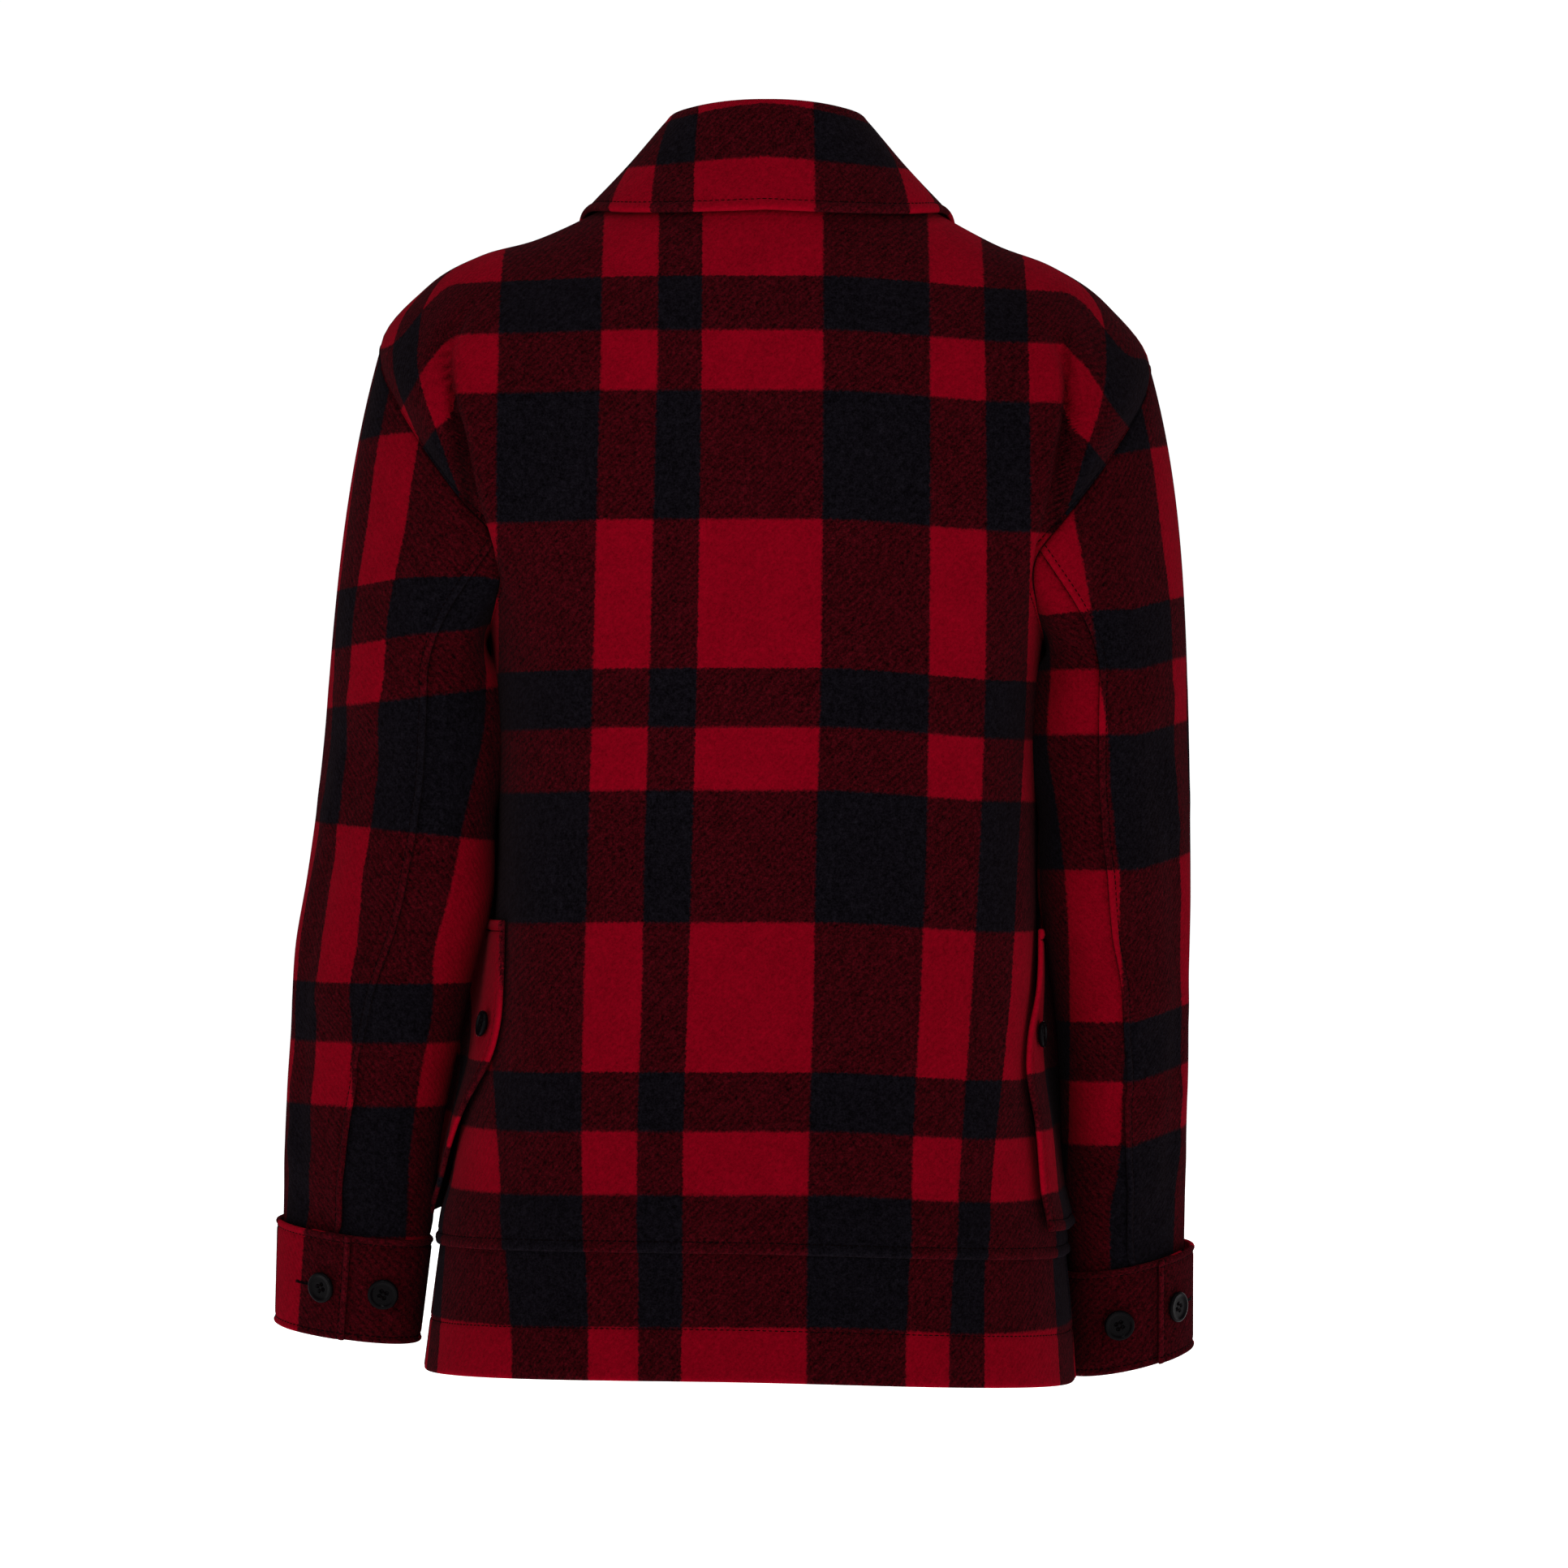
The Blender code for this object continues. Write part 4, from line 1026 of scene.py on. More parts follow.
def make_back():
    """The back, whose lower edge lies over the band."""
    downs, beside = body_rows(BACK_EDGE_DOWN)
    spread = 2 * spaced(0.42, step=2.2 * MM) - 1
    angle = edge_angle(downs, front=False)[:, None] * spread[None, :]
    down = spread_rows(downs, beside, np.abs(spread) ** 3)
    points = body_skin(angle, down, back_rise(down))
    normals = body_normal(angle, down)
    offsets = -normals * WALL
    for side, column in ((-1, 0), (1, -1)):
        offsets[beside, column] = armhole_offset(side, ARMHOLE_TURNS)
    offsets[0] = neck_offset(angle[0])
    lines = {"bottom": SEW_EDGE, "left": SEW_SEAM, "right": SEW_SEAM}
    made_map = back_map(angle, down)
    seams = ("top", "left", "right")
    # Shade painted along the folds behind the armholes
    mark = crease_painted_shade(points)
    return cloth_piece(
        "back_cloth", "back", points, normals, made_map, lines, offsets, seams=seams, mark=mark
    )


def make_back_band():
    """The strip below the back's lapped edge, with the hem turned up and sewn."""
    top = BACK_EDGE_DOWN - BACK_EDGE_OVERLAP
    length = (HEM_DOWN - top) * MM
    downs = top + spaced(length, True, True, length - HEM_TURN) * (HEM_DOWN - top)
    spread = 2 * spaced(0.5) - 1
    angle, down = np.meshgrid(90.0 * spread, downs)
    points = body_point(angle, down)
    normals = body_normal(angle, down)
    lines = {"bottom": HEM_TURN, "left": SEW_SEAM, "right": SEW_SEAM}
    made_map = back_map(angle, down)
    seams = ("top", "left", "right")
    return cloth_piece(
        "band_cloth", "back_band", points, normals, made_map, lines, seams=seams
    )


def make_front(word, side):
    """One front, from its side seam past the centre front, with the hem turned up and sewn."""
    downs, beside = body_rows(HEM_DOWN, HEM_TURN)
    start = edge_angle(downs, front=True)[:, None]
    reach = front_reach(downs)[:, None]
    spread = spaced(0.22, True, False)
    side_part = start + (180 - 2.4 * reach - start) * spread[None, :]
    lap = spaced(0.075, False, True, step=3.0 * MM)[None, 1:]
    lap_part = 180 + reach * (-2.4 + 3.4 * lap)
    angle = np.concatenate([side_part, lap_part], axis=1)
    closeness = np.concatenate([(1 - spread) ** 3, np.zeros(lap_part.shape[1])])
    down = spread_rows(downs, beside, closeness)
    lift = front_lift(angle, down) if side > 0 else 0.0 * angle
    down[0] += lift[0] / MM + 2.0 * ease(angle[0], 170, 178)
    down[1:10] = np.maximum(down[1:10], down[0:1] + EDGE_STEPS[1:10, None] / MM)
    points = body_skin(side * angle, down, lift)
    normals = body_normal(side * angle, down)
    offsets = -normals * WALL
    offsets[beside, 0] = armhole_offset(side, -ARMHOLE_TURNS)
    offsets[0] = neck_offset(side * angle[0])
    lines = {"bottom": HEM_TURN, "left": SEW_SEAM, "right": SEW_EDGE}
    made_map = front_map(side * angle, down)
    name = "front_" + word
    seams = ("top", "left")
    return cloth_piece(
        name + "_cloth", name, points, normals, made_map, lines, offsets, seams=seams
    )


# Where the plaid's columns and rows run on each sleeve: arc of a band's edge from the outermost line
SLEEVE_WARP = {
    1: table("below arc", [(315, 99), (454, 91), (554, 88.5), (600, 86), (661, 75)]),
    -1: table("below arc", [(315, 60), (395, 51), (494, 38.5), (681, 34)]),
}
SLEEVE_WEFT = {1: (0.9674, 242.1 * MM), -1: (0.9566, 262.1 * MM)}
SLEEVE_SLOPE = table(
    "depth left right",
    [(150, 0.0, 0.28), (250, -0.36, 0.28), (330, -0.1, 0.28), (405, 0.1, 0.28), (500, 0.0, 0.28)],
)
SLEEVE_MIDDLE = 0.216
SLEEVE_LEVEL = {1: 0.0, -1: 0.2253}
CAP_LEAN = 0.12
CAP_SHIFT = 10.0 * MM

# How far from the back seam a red column's edge lies on each under piece, which is not matched there
UNDER_WARP = table(
    "depth left right",
    [
        (310, 39.7, 32.5),
        (373, 31.7, 30.8),
        (444, 26.7, 26.1),
        (484, 29.3, 30.4),
        (508, 36.5, 34.0),
        (563, 41.0, 40.0),
        (614, 43.0, 44.4),
        (640, 44.0, 50.2),
    ],
)
UNDER_STRETCH = 0.9
SECTION_TURNS = np.linspace(-180.0, 180.0, 721)


def section_arcs(side, below):
    """Lengths of cloth round a sleeve section from its outermost line, turn by turn."""
    points = section_point(side, section_angle(side, SECTION_TURNS, below), below)
    steps = np.linalg.norm(np.diff(points[:, :2], axis=0), axis=-1)
    arc = np.concatenate([[0.0], np.cumsum(steps)])
    return arc - np.interp(0.0, SECTION_TURNS, arc)


def sleeve_map(side, turn, way, points, normals, under):
    """Metres of cloth across and down on a sleeve.

    Below the cap the columns are measured round each section. Over the cap they run on as straight
    grain lines do on the cloth, so each row is measured from the row below it. On an under piece
    the columns below the cap are set by their distance from the back seam.
    """
    word = SIDES[side]
    depth = -points[..., 2] / MM
    arcs = np.zeros(turn.shape)
    scale, start = SLEEVE_WEFT[side]
    slope = between(SLEEVE_SLOPE, word, depth)
    across = np.maximum(np.abs(points[..., 0]), SLEEVE_LEVEL[side])
    along = scale * (slope * (across - SLEEVE_MIDDLE) - points[..., 2]) - start
    below = way_below(side, way)
    first = int(np.searchsorted(way[:, 0], 1.0 - 1e-9))
    for i in range(first, turn.shape[0]):
        here = section_arcs(side, float(below[i, 0]))
        arcs[i] = np.interp(wrap_turn(turn[i]), SECTION_TURNS, here)
        arcs[i] += np.where(turn[i] >= 180, here[-1] - here[0], 0.0)
    grain = unit(np.array([-CAP_LEAN * side, 0.0, 1.0]))
    for i in range(first - 1, -1, -1):
        step = points[i] - points[i + 1]
        face = unit(normals[i] + normals[i + 1])
        upward = unit(grain - (face @ grain)[:, None] * face)
        sideways = side * np.cross(upward, face)
        arcs[i] = arcs[i + 1] + (step * sideways).sum(axis=-1)
        along[i] = along[i + 1] - scale * (step * upward).sum(axis=-1)
    edge = between(SLEEVE_WARP[side], "arc", below) * MM
    warp = SECOND_RED * MM - arcs + edge + CAP_SHIFT * (1 - ease(depth, 210, 290))
    if under:
        seam = np.maximum(np.arange(turn.shape[0]), first)
        reach = (arcs - arcs[seam, :1]) / MM - between(UNDER_WARP, word, depth)
        warp = (FIRST_BLACK - reach if side > 0 else SECOND_BLACK + UNDER_STRETCH * reach) * MM
    return np.stack([warp, along], axis=-1)


# The vent above each cuff: where it begins, how far its lap reaches over and stands off
VENT_TOP = {1: 545.0, -1: 560.0}
VENT_LAP = 3.4 * MM
VENT_RISE = WALL + 0.5 * MM
VENT_WIDTH = 8 * MM


def open_vent(side, way, points, normals, distance):
    """Laps the top piece over the under one above the cuff."""
    below = way_below(side, way)
    open_here = ease(below, VENT_TOP[side], VENT_TOP[side] + 14)
    open_here = open_here * (1 - ease(below, CUFF_TOP[side] - 7, CUFF_TOP[side] - 1))
    beside = swell(distance, 0.0, VENT_WIDTH)
    outward = unit(points[:, -1:] - points[:, -3:-2])
    lift = VENT_RISE * open_here * beside
    lap = VENT_LAP * open_here * beside
    return points + normals * lift[..., None] + outward * lap[..., None]


def make_sleeve(word, side, under):
    """One of a sleeve's two pieces, between two lengthwise seams."""
    cap = spaced(0.13, True, False)
    rest = spaced((SLEEVE_END[side] - CAP_END) * MM, False, True)
    ways = np.concatenate([cap[:-1], 1 + rest])
    if under:
        turns = BACK_SEAM_TURN + (360 - FRONT_SEAM_TURN - BACK_SEAM_TURN) * spaced(0.14, step=4.0 * MM)
    else:
        turns = -FRONT_SEAM_TURN + (BACK_SEAM_TURN + FRONT_SEAM_TURN) * spaced(0.25, step=4.0 * MM)
    turn, way = np.meshgrid(turns, ways)
    points = sleeve_point(side, turn, way)
    normals = sleeve_normal(side, turn, way)
    offsets = -normals * WALL
    offsets[0] = armhole_offset(side, wrap_turn(turns))
    made_map = sleeve_map(side, turn, way, points, normals, under)
    lines = {}
    if not under:
        distance = rim_distances(points)["right"]
        points = open_vent(side, way, points, normals, distance)
        lines = {"right": SEW_SEAM}
    name = f"sleeve_{word}_" + ("under" if under else "top")
    seams = ("top", "bottom", "left", "right") if under else ("top", "bottom", "left")
    return cloth_piece(
        name + "_cloth", name, points, normals, made_map, lines, offsets, seams=seams
    )


# Where each cuff's upper end begins in the plaid, and where its far side is eased from and to
CUFF_WARP_START = {1: 101.0 * MM, -1: 88.0 * MM}
CUFF_WEFT_START = 160.0 * MM
CUFF_EASED_FROM = 60 * MM
CUFF_HIDDEN = 30 * MM
CUFF_SECOND_BUTTON = 125.0 * MM
CUFF_END_MARK = 1.4
CUFF_END_SPREAD = 2.4 * MM


def cuff_stretch(side, visible):
    """How much a cuff's far side is eased, so that a black band comes under the second button."""
    wanted = CUFF_SECOND_BUTTON + WARP_REPEAT
    return (wanted - CUFF_WARP_START[side] - CUFF_EASED_FROM) / (visible - CUFF_EASED_FROM)


def make_cuff(word, side):
    """A cuff band whose ends lap at the back of the wrist."""
    finish = CUFF_EDGE[side] + 360.0
    start = CUFF_EDGE[side] - CUFF_UNDERLAP
    sweeps = start + (finish - start) * spaced(0.3, step=3.5 * MM)
    belows = CUFF_TOP[side] + spaced(CUFF_HEIGHT) * CUFF_HEIGHT / MM
    sweep, below = np.meshgrid(sweeps, belows)
    points = cuff_point(side, sweep, below)
    normals = cuff_normal(side, sweep, below)
    arc = rim_distances(points)["right"]
    eased = (arc - CUFF_EASED_FROM) * cuff_stretch(side, float(arc[0, 0]) - CUFF_HIDDEN)
    warp_start = CUFF_WARP_START[side]
    warp = np.where(arc < CUFF_EASED_FROM, warp_start + arc, warp_start + CUFF_EASED_FROM + eased)
    weft = CUFF_WEFT_START + (below - CUFF_TOP[side]) * MM
    lines = {rim: SEW_CUFF for rim in ("top", "bottom", "left", "right")}
    sewn = {rim: slice(None) for rim in ("top", "bottom", "right")}
    name = "cuff_" + word
    made_map = np.stack([warp, weft], axis=-1)
    mark = CUFF_END_MARK * swell(arc, 0.0, CUFF_END_SPREAD)
    return cloth_piece(
        name + "_cloth", name, points, normals, made_map, lines, sewn=sewn, mark=mark
    )


# How far each pocket's plaid is off the body's across and down, and where its columns straighten
POCKET_MAP_SHIFT = {1: (-13.0, 4.5), -1: (3.0, 3.0)}
POCKET_STRAIGHT = (95, 135)


def make_pocket(word, side):
    """A large patch pocket made from the body's points, moved out."""
    downs = POCKET_TOP_DOWN + spaced(0.181) * (POCKET_BOTTOM_DOWN - POCKET_TOP_DOWN)
    rear = between(POCKET, "rear_" + word, downs)
    spread = spaced(0.2)
    angle = rear[:, None] + (POCKET_FRONT_ANGLE - rear)[:, None] * spread[None, :]
    down = np.broadcast_to(downs[:, None], angle.shape)
    points = pocket_skin(side, angle, down)
    normals = pocket_normal(side, angle, down)
    lines = {rim: SEW_EDGE for rim in ("top", "bottom", "left", "right")}
    name = "pocket_" + word
    made_map = back_map(side * angle, down) + np.array(POCKET_MAP_SHIFT[side]) * MM
    front_edge = made_map[:, -1:, 0]
    made_map[..., 0] += ease(angle, *POCKET_STRAIGHT) * (front_edge.mean() - front_edge)
    return cloth_piece(name + "_cloth", name, points, normals, made_map, lines)


def make_collar():
    """Stand and turned-down fall in one piece."""
    parts = 2 * spaced(0.46) - 1
    stand = np.linspace(0, 0.38, 8)
    roll = np.linspace(0.38, 0.5, 13)
    fall = 0.5 + 0.5 * spaced(0.075, False, True, step=4.0 * MM)
    ways = np.concatenate([stand[:-1], roll[:-1], fall])
    under, normals = collar_grid(parts, ways)
    seam_angles = np.sign(parts) * between(COLLAR, "seam_angle", np.abs(parts))
    raised = normals * COLLAR_WALL
    raised[0] = neck_offset(seam_angles)
    outer = under + raised
    distances = rim_distances(outer)
    middle = distances["left"][:, len(parts) // 2][:, None]
    across = distances["left"] - middle
    made_map = np.stack([45.0 * MM - across, 70.0 * MM - distances["bottom"]], axis=-1)
    lines = {rim: SEW_EDGE for rim in ("bottom", "left", "right")}
    fall_rows = slice(len(ways) - len(fall), None)
    sewn = {"bottom": slice(None), "left": fall_rows, "right": fall_rows}
    seams = ("top",)
    return cloth_piece(
        "collar_cloth", "collar", outer, normals, made_map, lines, -raised, sewn, seams
    )


def set_inputs(tree, node, inputs):
    """Gives a node what its inputs need: sockets are linked, plain values set."""
    for key, given in inputs.items():
        if isinstance(given, bpy.types.NodeSocket):
            tree.links.new(given, node.inputs[key])
        else:
            node.inputs[key].default_value = given


def add_node(tree, kind, inputs=None, **settings):
    """A node with its settings and its inputs."""
    node = tree.nodes.new(kind)
    for key, value in settings.items():
        setattr(node, key, value)
    set_inputs(tree, node, inputs or {})
    return node


def add_math(tree, operation, *given):
    """A math node; numbers or sockets go in, its output comes back."""
    return add_node(tree, "ShaderNodeMath", dict(enumerate(given)), operation=operation).outputs[0]


def add_weighted(tree, total, *terms):
    """A total to which each term's socket is added by its weight."""
    for socket, weight in terms:
        total = add_math(tree, "MULTIPLY_ADD", socket, weight, total)
    return total


def add_noise(tree, vector, scale, detail, roughness, label=""):
    """A noise texture's value on a vector."""
    inputs = {"Vector": vector, "Scale": scale, "Detail": detail, "Roughness": roughness}
    return add_node(tree, "ShaderNodeTexNoise", inputs, label=label).outputs["Fac"]


def new_tree(name, kind, inputs, outputs):
    """A node group with named sockets: its tree, what comes into it and what goes out."""
    tree = bpy.data.node_groups.new(name, kind)
    for way, rows in (("INPUT", inputs), ("OUTPUT", outputs)):
        for label, socket, *value in rows:
            made = tree.interface.new_socket(label, in_out=way, socket_type="NodeSocket" + socket)
            if value:
                made.default_value = value[0]
    source = tree.nodes.new("NodeGroupInput").outputs
    return tree, source, tree.nodes.new("NodeGroupOutput").inputs


def new_material(name):
    """A material, its node tree and its shader."""
    made = bpy.data.materials.new(name)
    made.use_nodes = True
    return made, made.node_tree, made.node_tree.nodes["Principled BSDF"]


def add_bands(tree, place, bands, repeat):
    """1 where a yarn system is red, 0 where it is black, along one repeat."""
    share = add_math(tree, "FRACT", add_math(tree, "DIVIDE", place, repeat))
    ramp = add_node(tree, "ShaderNodeValToRGB", {"Fac": share})
    stops = []
    for (colour, start), (before, _) in zip(bands, (bands[-1],) + bands[:-1]):
        at = start * MM / repeat
        stops.append((max(at - BAND_BLUR / repeat, 0.0), before))
        stops.append((at + BAND_BLUR / repeat, colour))
    stops.append((1.0, bands[-1][0]))
    elements = ramp.color_ramp.elements
    while len(elements) > 1:
        elements.remove(elements[-1])
    for index, (at, colour) in enumerate(stops):
        element = elements[0] if index == 0 else elements.new(at)
        element.position = at
        level = 1.0 if colour == "red" else 0.0
        element.color = (level, level, level, 1.0)
    return ramp.outputs["Color"]


def plaid_group():
    """The napped plaid twill: its colour and its height, on a map in metres of cloth."""
    name = "Napped plaid twill"
    if name in bpy.data.node_groups:
        return bpy.data.node_groups[name]
    inputs = (
        ("Cloth Map", "Vector"),
        ("Place", "Vector"),
        ("Near Rim", "Float", 0.0),
        ("Red", "Color", (0.2, 0.001, 0.006, 1.0)),
        ("Black", "Color", (0.005, 0.004, 0.006, 1.0)),
        ("Twill Width", "Float", 0.0036),
        ("Mixed Share", "Float", 0.19),
        ("Nap", "Float", 0.2),
    )
    outputs = (("Color", "Color"), ("Height", "Float"))
    tree, source, result = new_tree(name, "ShaderNodeTree", inputs, outputs)
    place = source["Place"]

    # The bands' edges are fuzzy: the map is moved a little to and fro
    fuzz = add_node(tree, "ShaderNodeTexNoise", {"Vector": place, "Scale": 620.0, "Detail": 2.0})
    sway = {0: fuzz.outputs["Color"], 1: (0.0032, 0.0032, 0.0), 2: (-0.0016, -0.0016, 0.0)}
    centre = add_node(tree, "ShaderNodeVectorMath", sway, operation="MULTIPLY_ADD").outputs[0]
    moved = add_node(tree, "ShaderNodeVectorMath", {0: source["Cloth Map"], 1: centre}, operation="ADD")
    split = add_node(tree, "ShaderNodeSeparateXYZ", {0: moved.outputs[0]}).outputs
    plain = add_node(tree, "ShaderNodeSeparateXYZ", {0: source["Cloth Map"]}).outputs
    warp = add_bands(tree, split["X"], WARP_BANDS, WARP_REPEAT)
    weft = add_bands(tree, split["Y"], WEFT_BANDS, WEFT_REPEAT)
    both = add_math(tree, "MULTIPLY", warp, weft)
    either = add_math(tree, "MULTIPLY_ADD", both, -2.0, add_math(tree, "ADD", warp, weft))

    # The twill's slanting lines, which wander, and the nap in three sizes
    slant = add_math(tree, "ADD", plain["X"], plain["Y"])
    slant = add_math(tree, "DIVIDE", slant, source["Twill Width"])
    slant = add_weighted(tree, slant, (add_noise(tree, place, 210.0, 2.0, 0.6), 0.9))
    wave = add_math(tree, "SINE", add_math(tree, "MULTIPLY", slant, 2 * math.pi))
    nap = (("nap", 900.0, 0.6), ("tufts", 330.0, 0.6), ("clouds", 46.0, 0.55))
    fine, tuft, cloud = [
        add_math(tree, "SUBTRACT", add_noise(tree, place, scale, 3.0, roughness, label), 0.5)
        for label, scale, roughness in nap
    ]

    # Mixed squares let the other yarn through; black yarn is speckled
    swing = add_weighted(tree, 1.0, (wave, 0.23), (fine, 3.0), (tuft, 1.8))
    mixed = add_math(tree, "MULTIPLY", source["Mixed Share"], add_math(tree, "MAXIMUM", swing, 0.1))
    red_share = add_math(tree, "MULTIPLY_ADD", either, mixed, both)
    speckle = add_weighted(tree, 1.0, (fine, 2.2), (tuft, 1.6))
    speckle = add_math(tree, "MAXIMUM", speckle, 0.2)
    speckle = add_math(tree, "MULTIPLY", speckle, add_weighted(tree, 1.0, (either, -0.55)))
    dark = {0: source["Black"], "Scale": speckle}
    black = add_node(tree, "ShaderNodeVectorMath", dark, operation="SCALE").outputs[0]
    yarns = {"Factor": red_share, "A": black, "B": source["Red"]}
    colour = add_node(tree, "ShaderNodeMix", yarns, data_type="RGBA").outputs["Result"]

    # Brighter where the nap catches light and near free edges; shade painted into the colour darkens the
    # hollows of seams and the folds behind the armholes
    lighter_edge = add_math(tree, "MAXIMUM", source["Near Rim"], 0.0)
    painted_shade = add_math(tree, "MINIMUM", source["Near Rim"], 0.0)
    light = ((wave, 0.035), (fine, 1.1), (tuft, 0.8), (cloud, 0.35), (lighter_edge, 0.8), (painted_shade, 0.8))
    bright = add_math(tree, "MAXIMUM", add_weighted(tree, 1.0, *light), 0.1)
    layers = {"Factor": 1.0, "A": colour, "B": bright}
    shade = add_node(tree, "ShaderNodeMix", layers, data_type="RGBA", blend_type="MULTIPLY")
    tree.links.new(shade.outputs["Result"], result["Color"])
    height = add_math(tree, "MULTIPLY", wave, 0.28)
    height = add_weighted(tree, height, (fine, 1.2), (tuft, 1.6))
    tree.links.new(add_math(tree, "MULTIPLY", height, source["Nap"]), result["Height"])
    return tree


def plaid_material():
    """The jacket's wool cloth."""
    name = "Plaid mackinaw wool"
    if name in bpy.data.materials:
        return bpy.data.materials[name]
    sizes = bpy.context.scene.jacket_cloth
    made, tree, shader = new_material(name)
    inputs = {
        "Cloth Map": add_node(tree, "ShaderNodeUVMap", uv_map="cloth_map").outputs["UV"],
        "Place": add_node(tree, "ShaderNodeTexCoord").outputs["Object"],
        # The mark that lightens free edges and paints shade in seams and folds
        "Near Rim": add_node(tree, "ShaderNodeAttribute", attribute_name="edge_and_painted_shade").outputs["Fac"],
        "Red": (*sizes.red, 1.0),
        "Black": (*sizes.black, 1.0),
        "Twill Width": sizes.twill_width,
        "Mixed Share": sizes.mixed_share,
    }
    group = add_node(tree, "ShaderNodeGroup", inputs, node_tree=plaid_group())
    relief = {"Strength": 0.9, "Distance": 0.0016, "Height": group.outputs["Height"]}
    looks = {
        "Base Color": group.outputs["Color"],
        "Normal": add_node(tree, "ShaderNodeBump", relief).outputs["Normal"],
        "Roughness": 0.95,
        "Specular IOR Level": 0.0,
        "Sheen Weight": sizes.sheen,
        "Sheen Roughness": 0.55,
        "Sheen Tint": (0.9, 0.55, 0.58, 1.0),
    }
    set_inputs(tree, shader, looks)
    return made


def wear_group():
    """Fine grain of a small part: a mask for its colour and roughness, and its height."""
    name = "Rubbed moulding"
    if name in bpy.data.node_groups:
        return bpy.data.node_groups[name]
    inputs = (("Place", "Vector"), ("Grain Scale", "Float", 900.0))
    outputs = (("Rubbed", "Float"), ("Height", "Float"))
    tree, source, result = new_tree(name, "ShaderNodeTree", inputs, outputs)
    given = {"Detail": 4.0, "Vector": source["Place"], "Scale": source["Grain Scale"]}
    noise = add_node(tree, "ShaderNodeTexNoise", given)
    for word in ("Rubbed", "Height"):
        tree.links.new(noise.outputs["Fac"], result[word])
    return tree


def simple_material(name, colour, roughness, swing, distance, scale, gloss):
    """A plain finish with fine grain in its colour, roughness and height."""
    if name in bpy.data.materials:
        return bpy.data.materials[name]
    made, tree, shader = new_material(name)
    place = add_node(tree, "ShaderNodeTexCoord").outputs["Object"]
    given = {"Grain Scale": scale, "Place": place}
    grain = add_node(tree, "ShaderNodeGroup", given, node_tree=wear_group()).outputs
    reach = {
        "Value": grain["Rubbed"],
        "To Min": max(roughness - swing, 0.05),
        "To Max": min(roughness + swing, 1.0),
    }
    shades = {
        "Factor": grain["Rubbed"],
        "A": (*[c * 0.8 for c in colour], 1.0),
        "B": (*[c * 1.25 for c in colour], 1.0),
    }
    relief = {"Strength": 0.4, "Distance": distance, "Height": grain["Height"]}
    looks = {
        "Base Color": add_node(tree, "ShaderNodeMix", shades, data_type="RGBA").outputs["Result"],
        "Roughness": add_node(tree, "ShaderNodeMapRange", reach).outputs["Result"],
        "Normal": add_node(tree, "ShaderNodeBump", relief).outputs["Normal"],
        "Specular IOR Level": gloss,
    }
    set_inputs(tree, shader, looks)
    return made


def button_material():
    """Black moulded buttons with a soft gloss."""
    return simple_material(
        "Black moulded button",
        tuple(bpy.context.scene.jacket_buttons.colour),
        roughness=0.2,
        swing=0.1,
        distance=0.00004,
        scale=1400.0,
        gloss=0.03,
    )


def thread_material():
    """Dark sewing thread."""
    return simple_material(
        "Sewing thread",
        tuple(bpy.context.scene.jacket_sewing.thread_colour),
        roughness=0.85,
        swing=0.1,
        distance=0.0001,
        scale=4000.0,
        gloss=0.02,
    )


def joined_mesh(name, points, faces, surface):
    """An object from points and faces, with its material."""
    mesh = closed_mesh(name, points, faces, sharp=50)
    mesh.materials.append(surface)
    return linked(name, mesh)


# Half outline of a button from the middle of its back over the rim to the middle of its front
BUTTON_PROFILE = table(
    "step radius height",
    [
        (0, 0.00, 0.00),
        (1, 0.60, 0.00),
        (2, 0.80, 0.04),
        (3, 0.93, 0.20),
        (4, 0.99, 0.42),
        (5, 1.00, 0.62),
        (6, 0.985, 0.82),
        (7, 0.94, 0.96),
        (8, 0.88, 1.00),
        (9, 0.81, 0.96),
        (10, 0.75, 0.85),
        (11, 0.70, 0.76),
        (12, 0.62, 0.70),
        (13, 0.54, 0.69),
        (14, 0.46, 0.685),
        (15, 0.39, 0.68),
        (16, 0.32, 0.68),
        (17, 0.25, 0.68),
        (18, 0.18, 0.68),
        (19, 0.10, 0.68),
        (20, 0.00, 0.68),
    ],
)
BUTTON_SEGMENTS = 48
BUTTON_WELL = 0.68
HOLE_PLACE = 0.235
HOLE_RADIUS = 0.14
HOLE_DEPTH = 1.5 * MM


def button_shape(radius):
    """Points and faces of a dished four-hole button lying on its back at the origin."""
    segments = BUTTON_SEGMENTS
    radii = BUTTON_PROFILE["radius"] * radius
    heights = BUTTON_PROFILE["height"] * BUTTON_THICKNESS
    swing = np.linspace(0, 2 * np.pi, segments, endpoint=False)
    points = [np.array([[0.0, 0.0, heights[0]]])]
    for r, h in zip(radii[1:-1], heights[1:-1]):
        points.append(np.stack([r * np.cos(swing), r * np.sin(swing), h + 0 * swing], axis=-1))
    points.append(np.array([[0.0, 0.0, heights[-1]]]))
    points = np.concatenate(points)
    for quarter in range(4):
        way = np.radians(45 + 90 * quarter)
        centre = HOLE_PLACE * radius * np.array([np.cos(way), np.sin(way)])
        apart = np.linalg.norm(points[:, :2] - centre, axis=-1) / (HOLE_RADIUS * radius)
        front = points[:, 2] > 0.5 * BUTTON_THICKNESS
        points[:, 2] -= front * HOLE_DEPTH * (1 - ease(apart, 0.55, 1.05))
    rings = len(radii) - 2
    faces = []
    for j in range(segments):
        k = (j + 1) % segments
        faces.append((0, 1 + k, 1 + j))
        for i in range(rings - 1):
            a = 1 + i * segments
            b = a + segments
            faces.append((a + j, a + k, b + k, b + j))
        a = 1 + (rings - 1) * segments
        faces.append((a + j, a + k, len(points) - 1))
    return points, faces


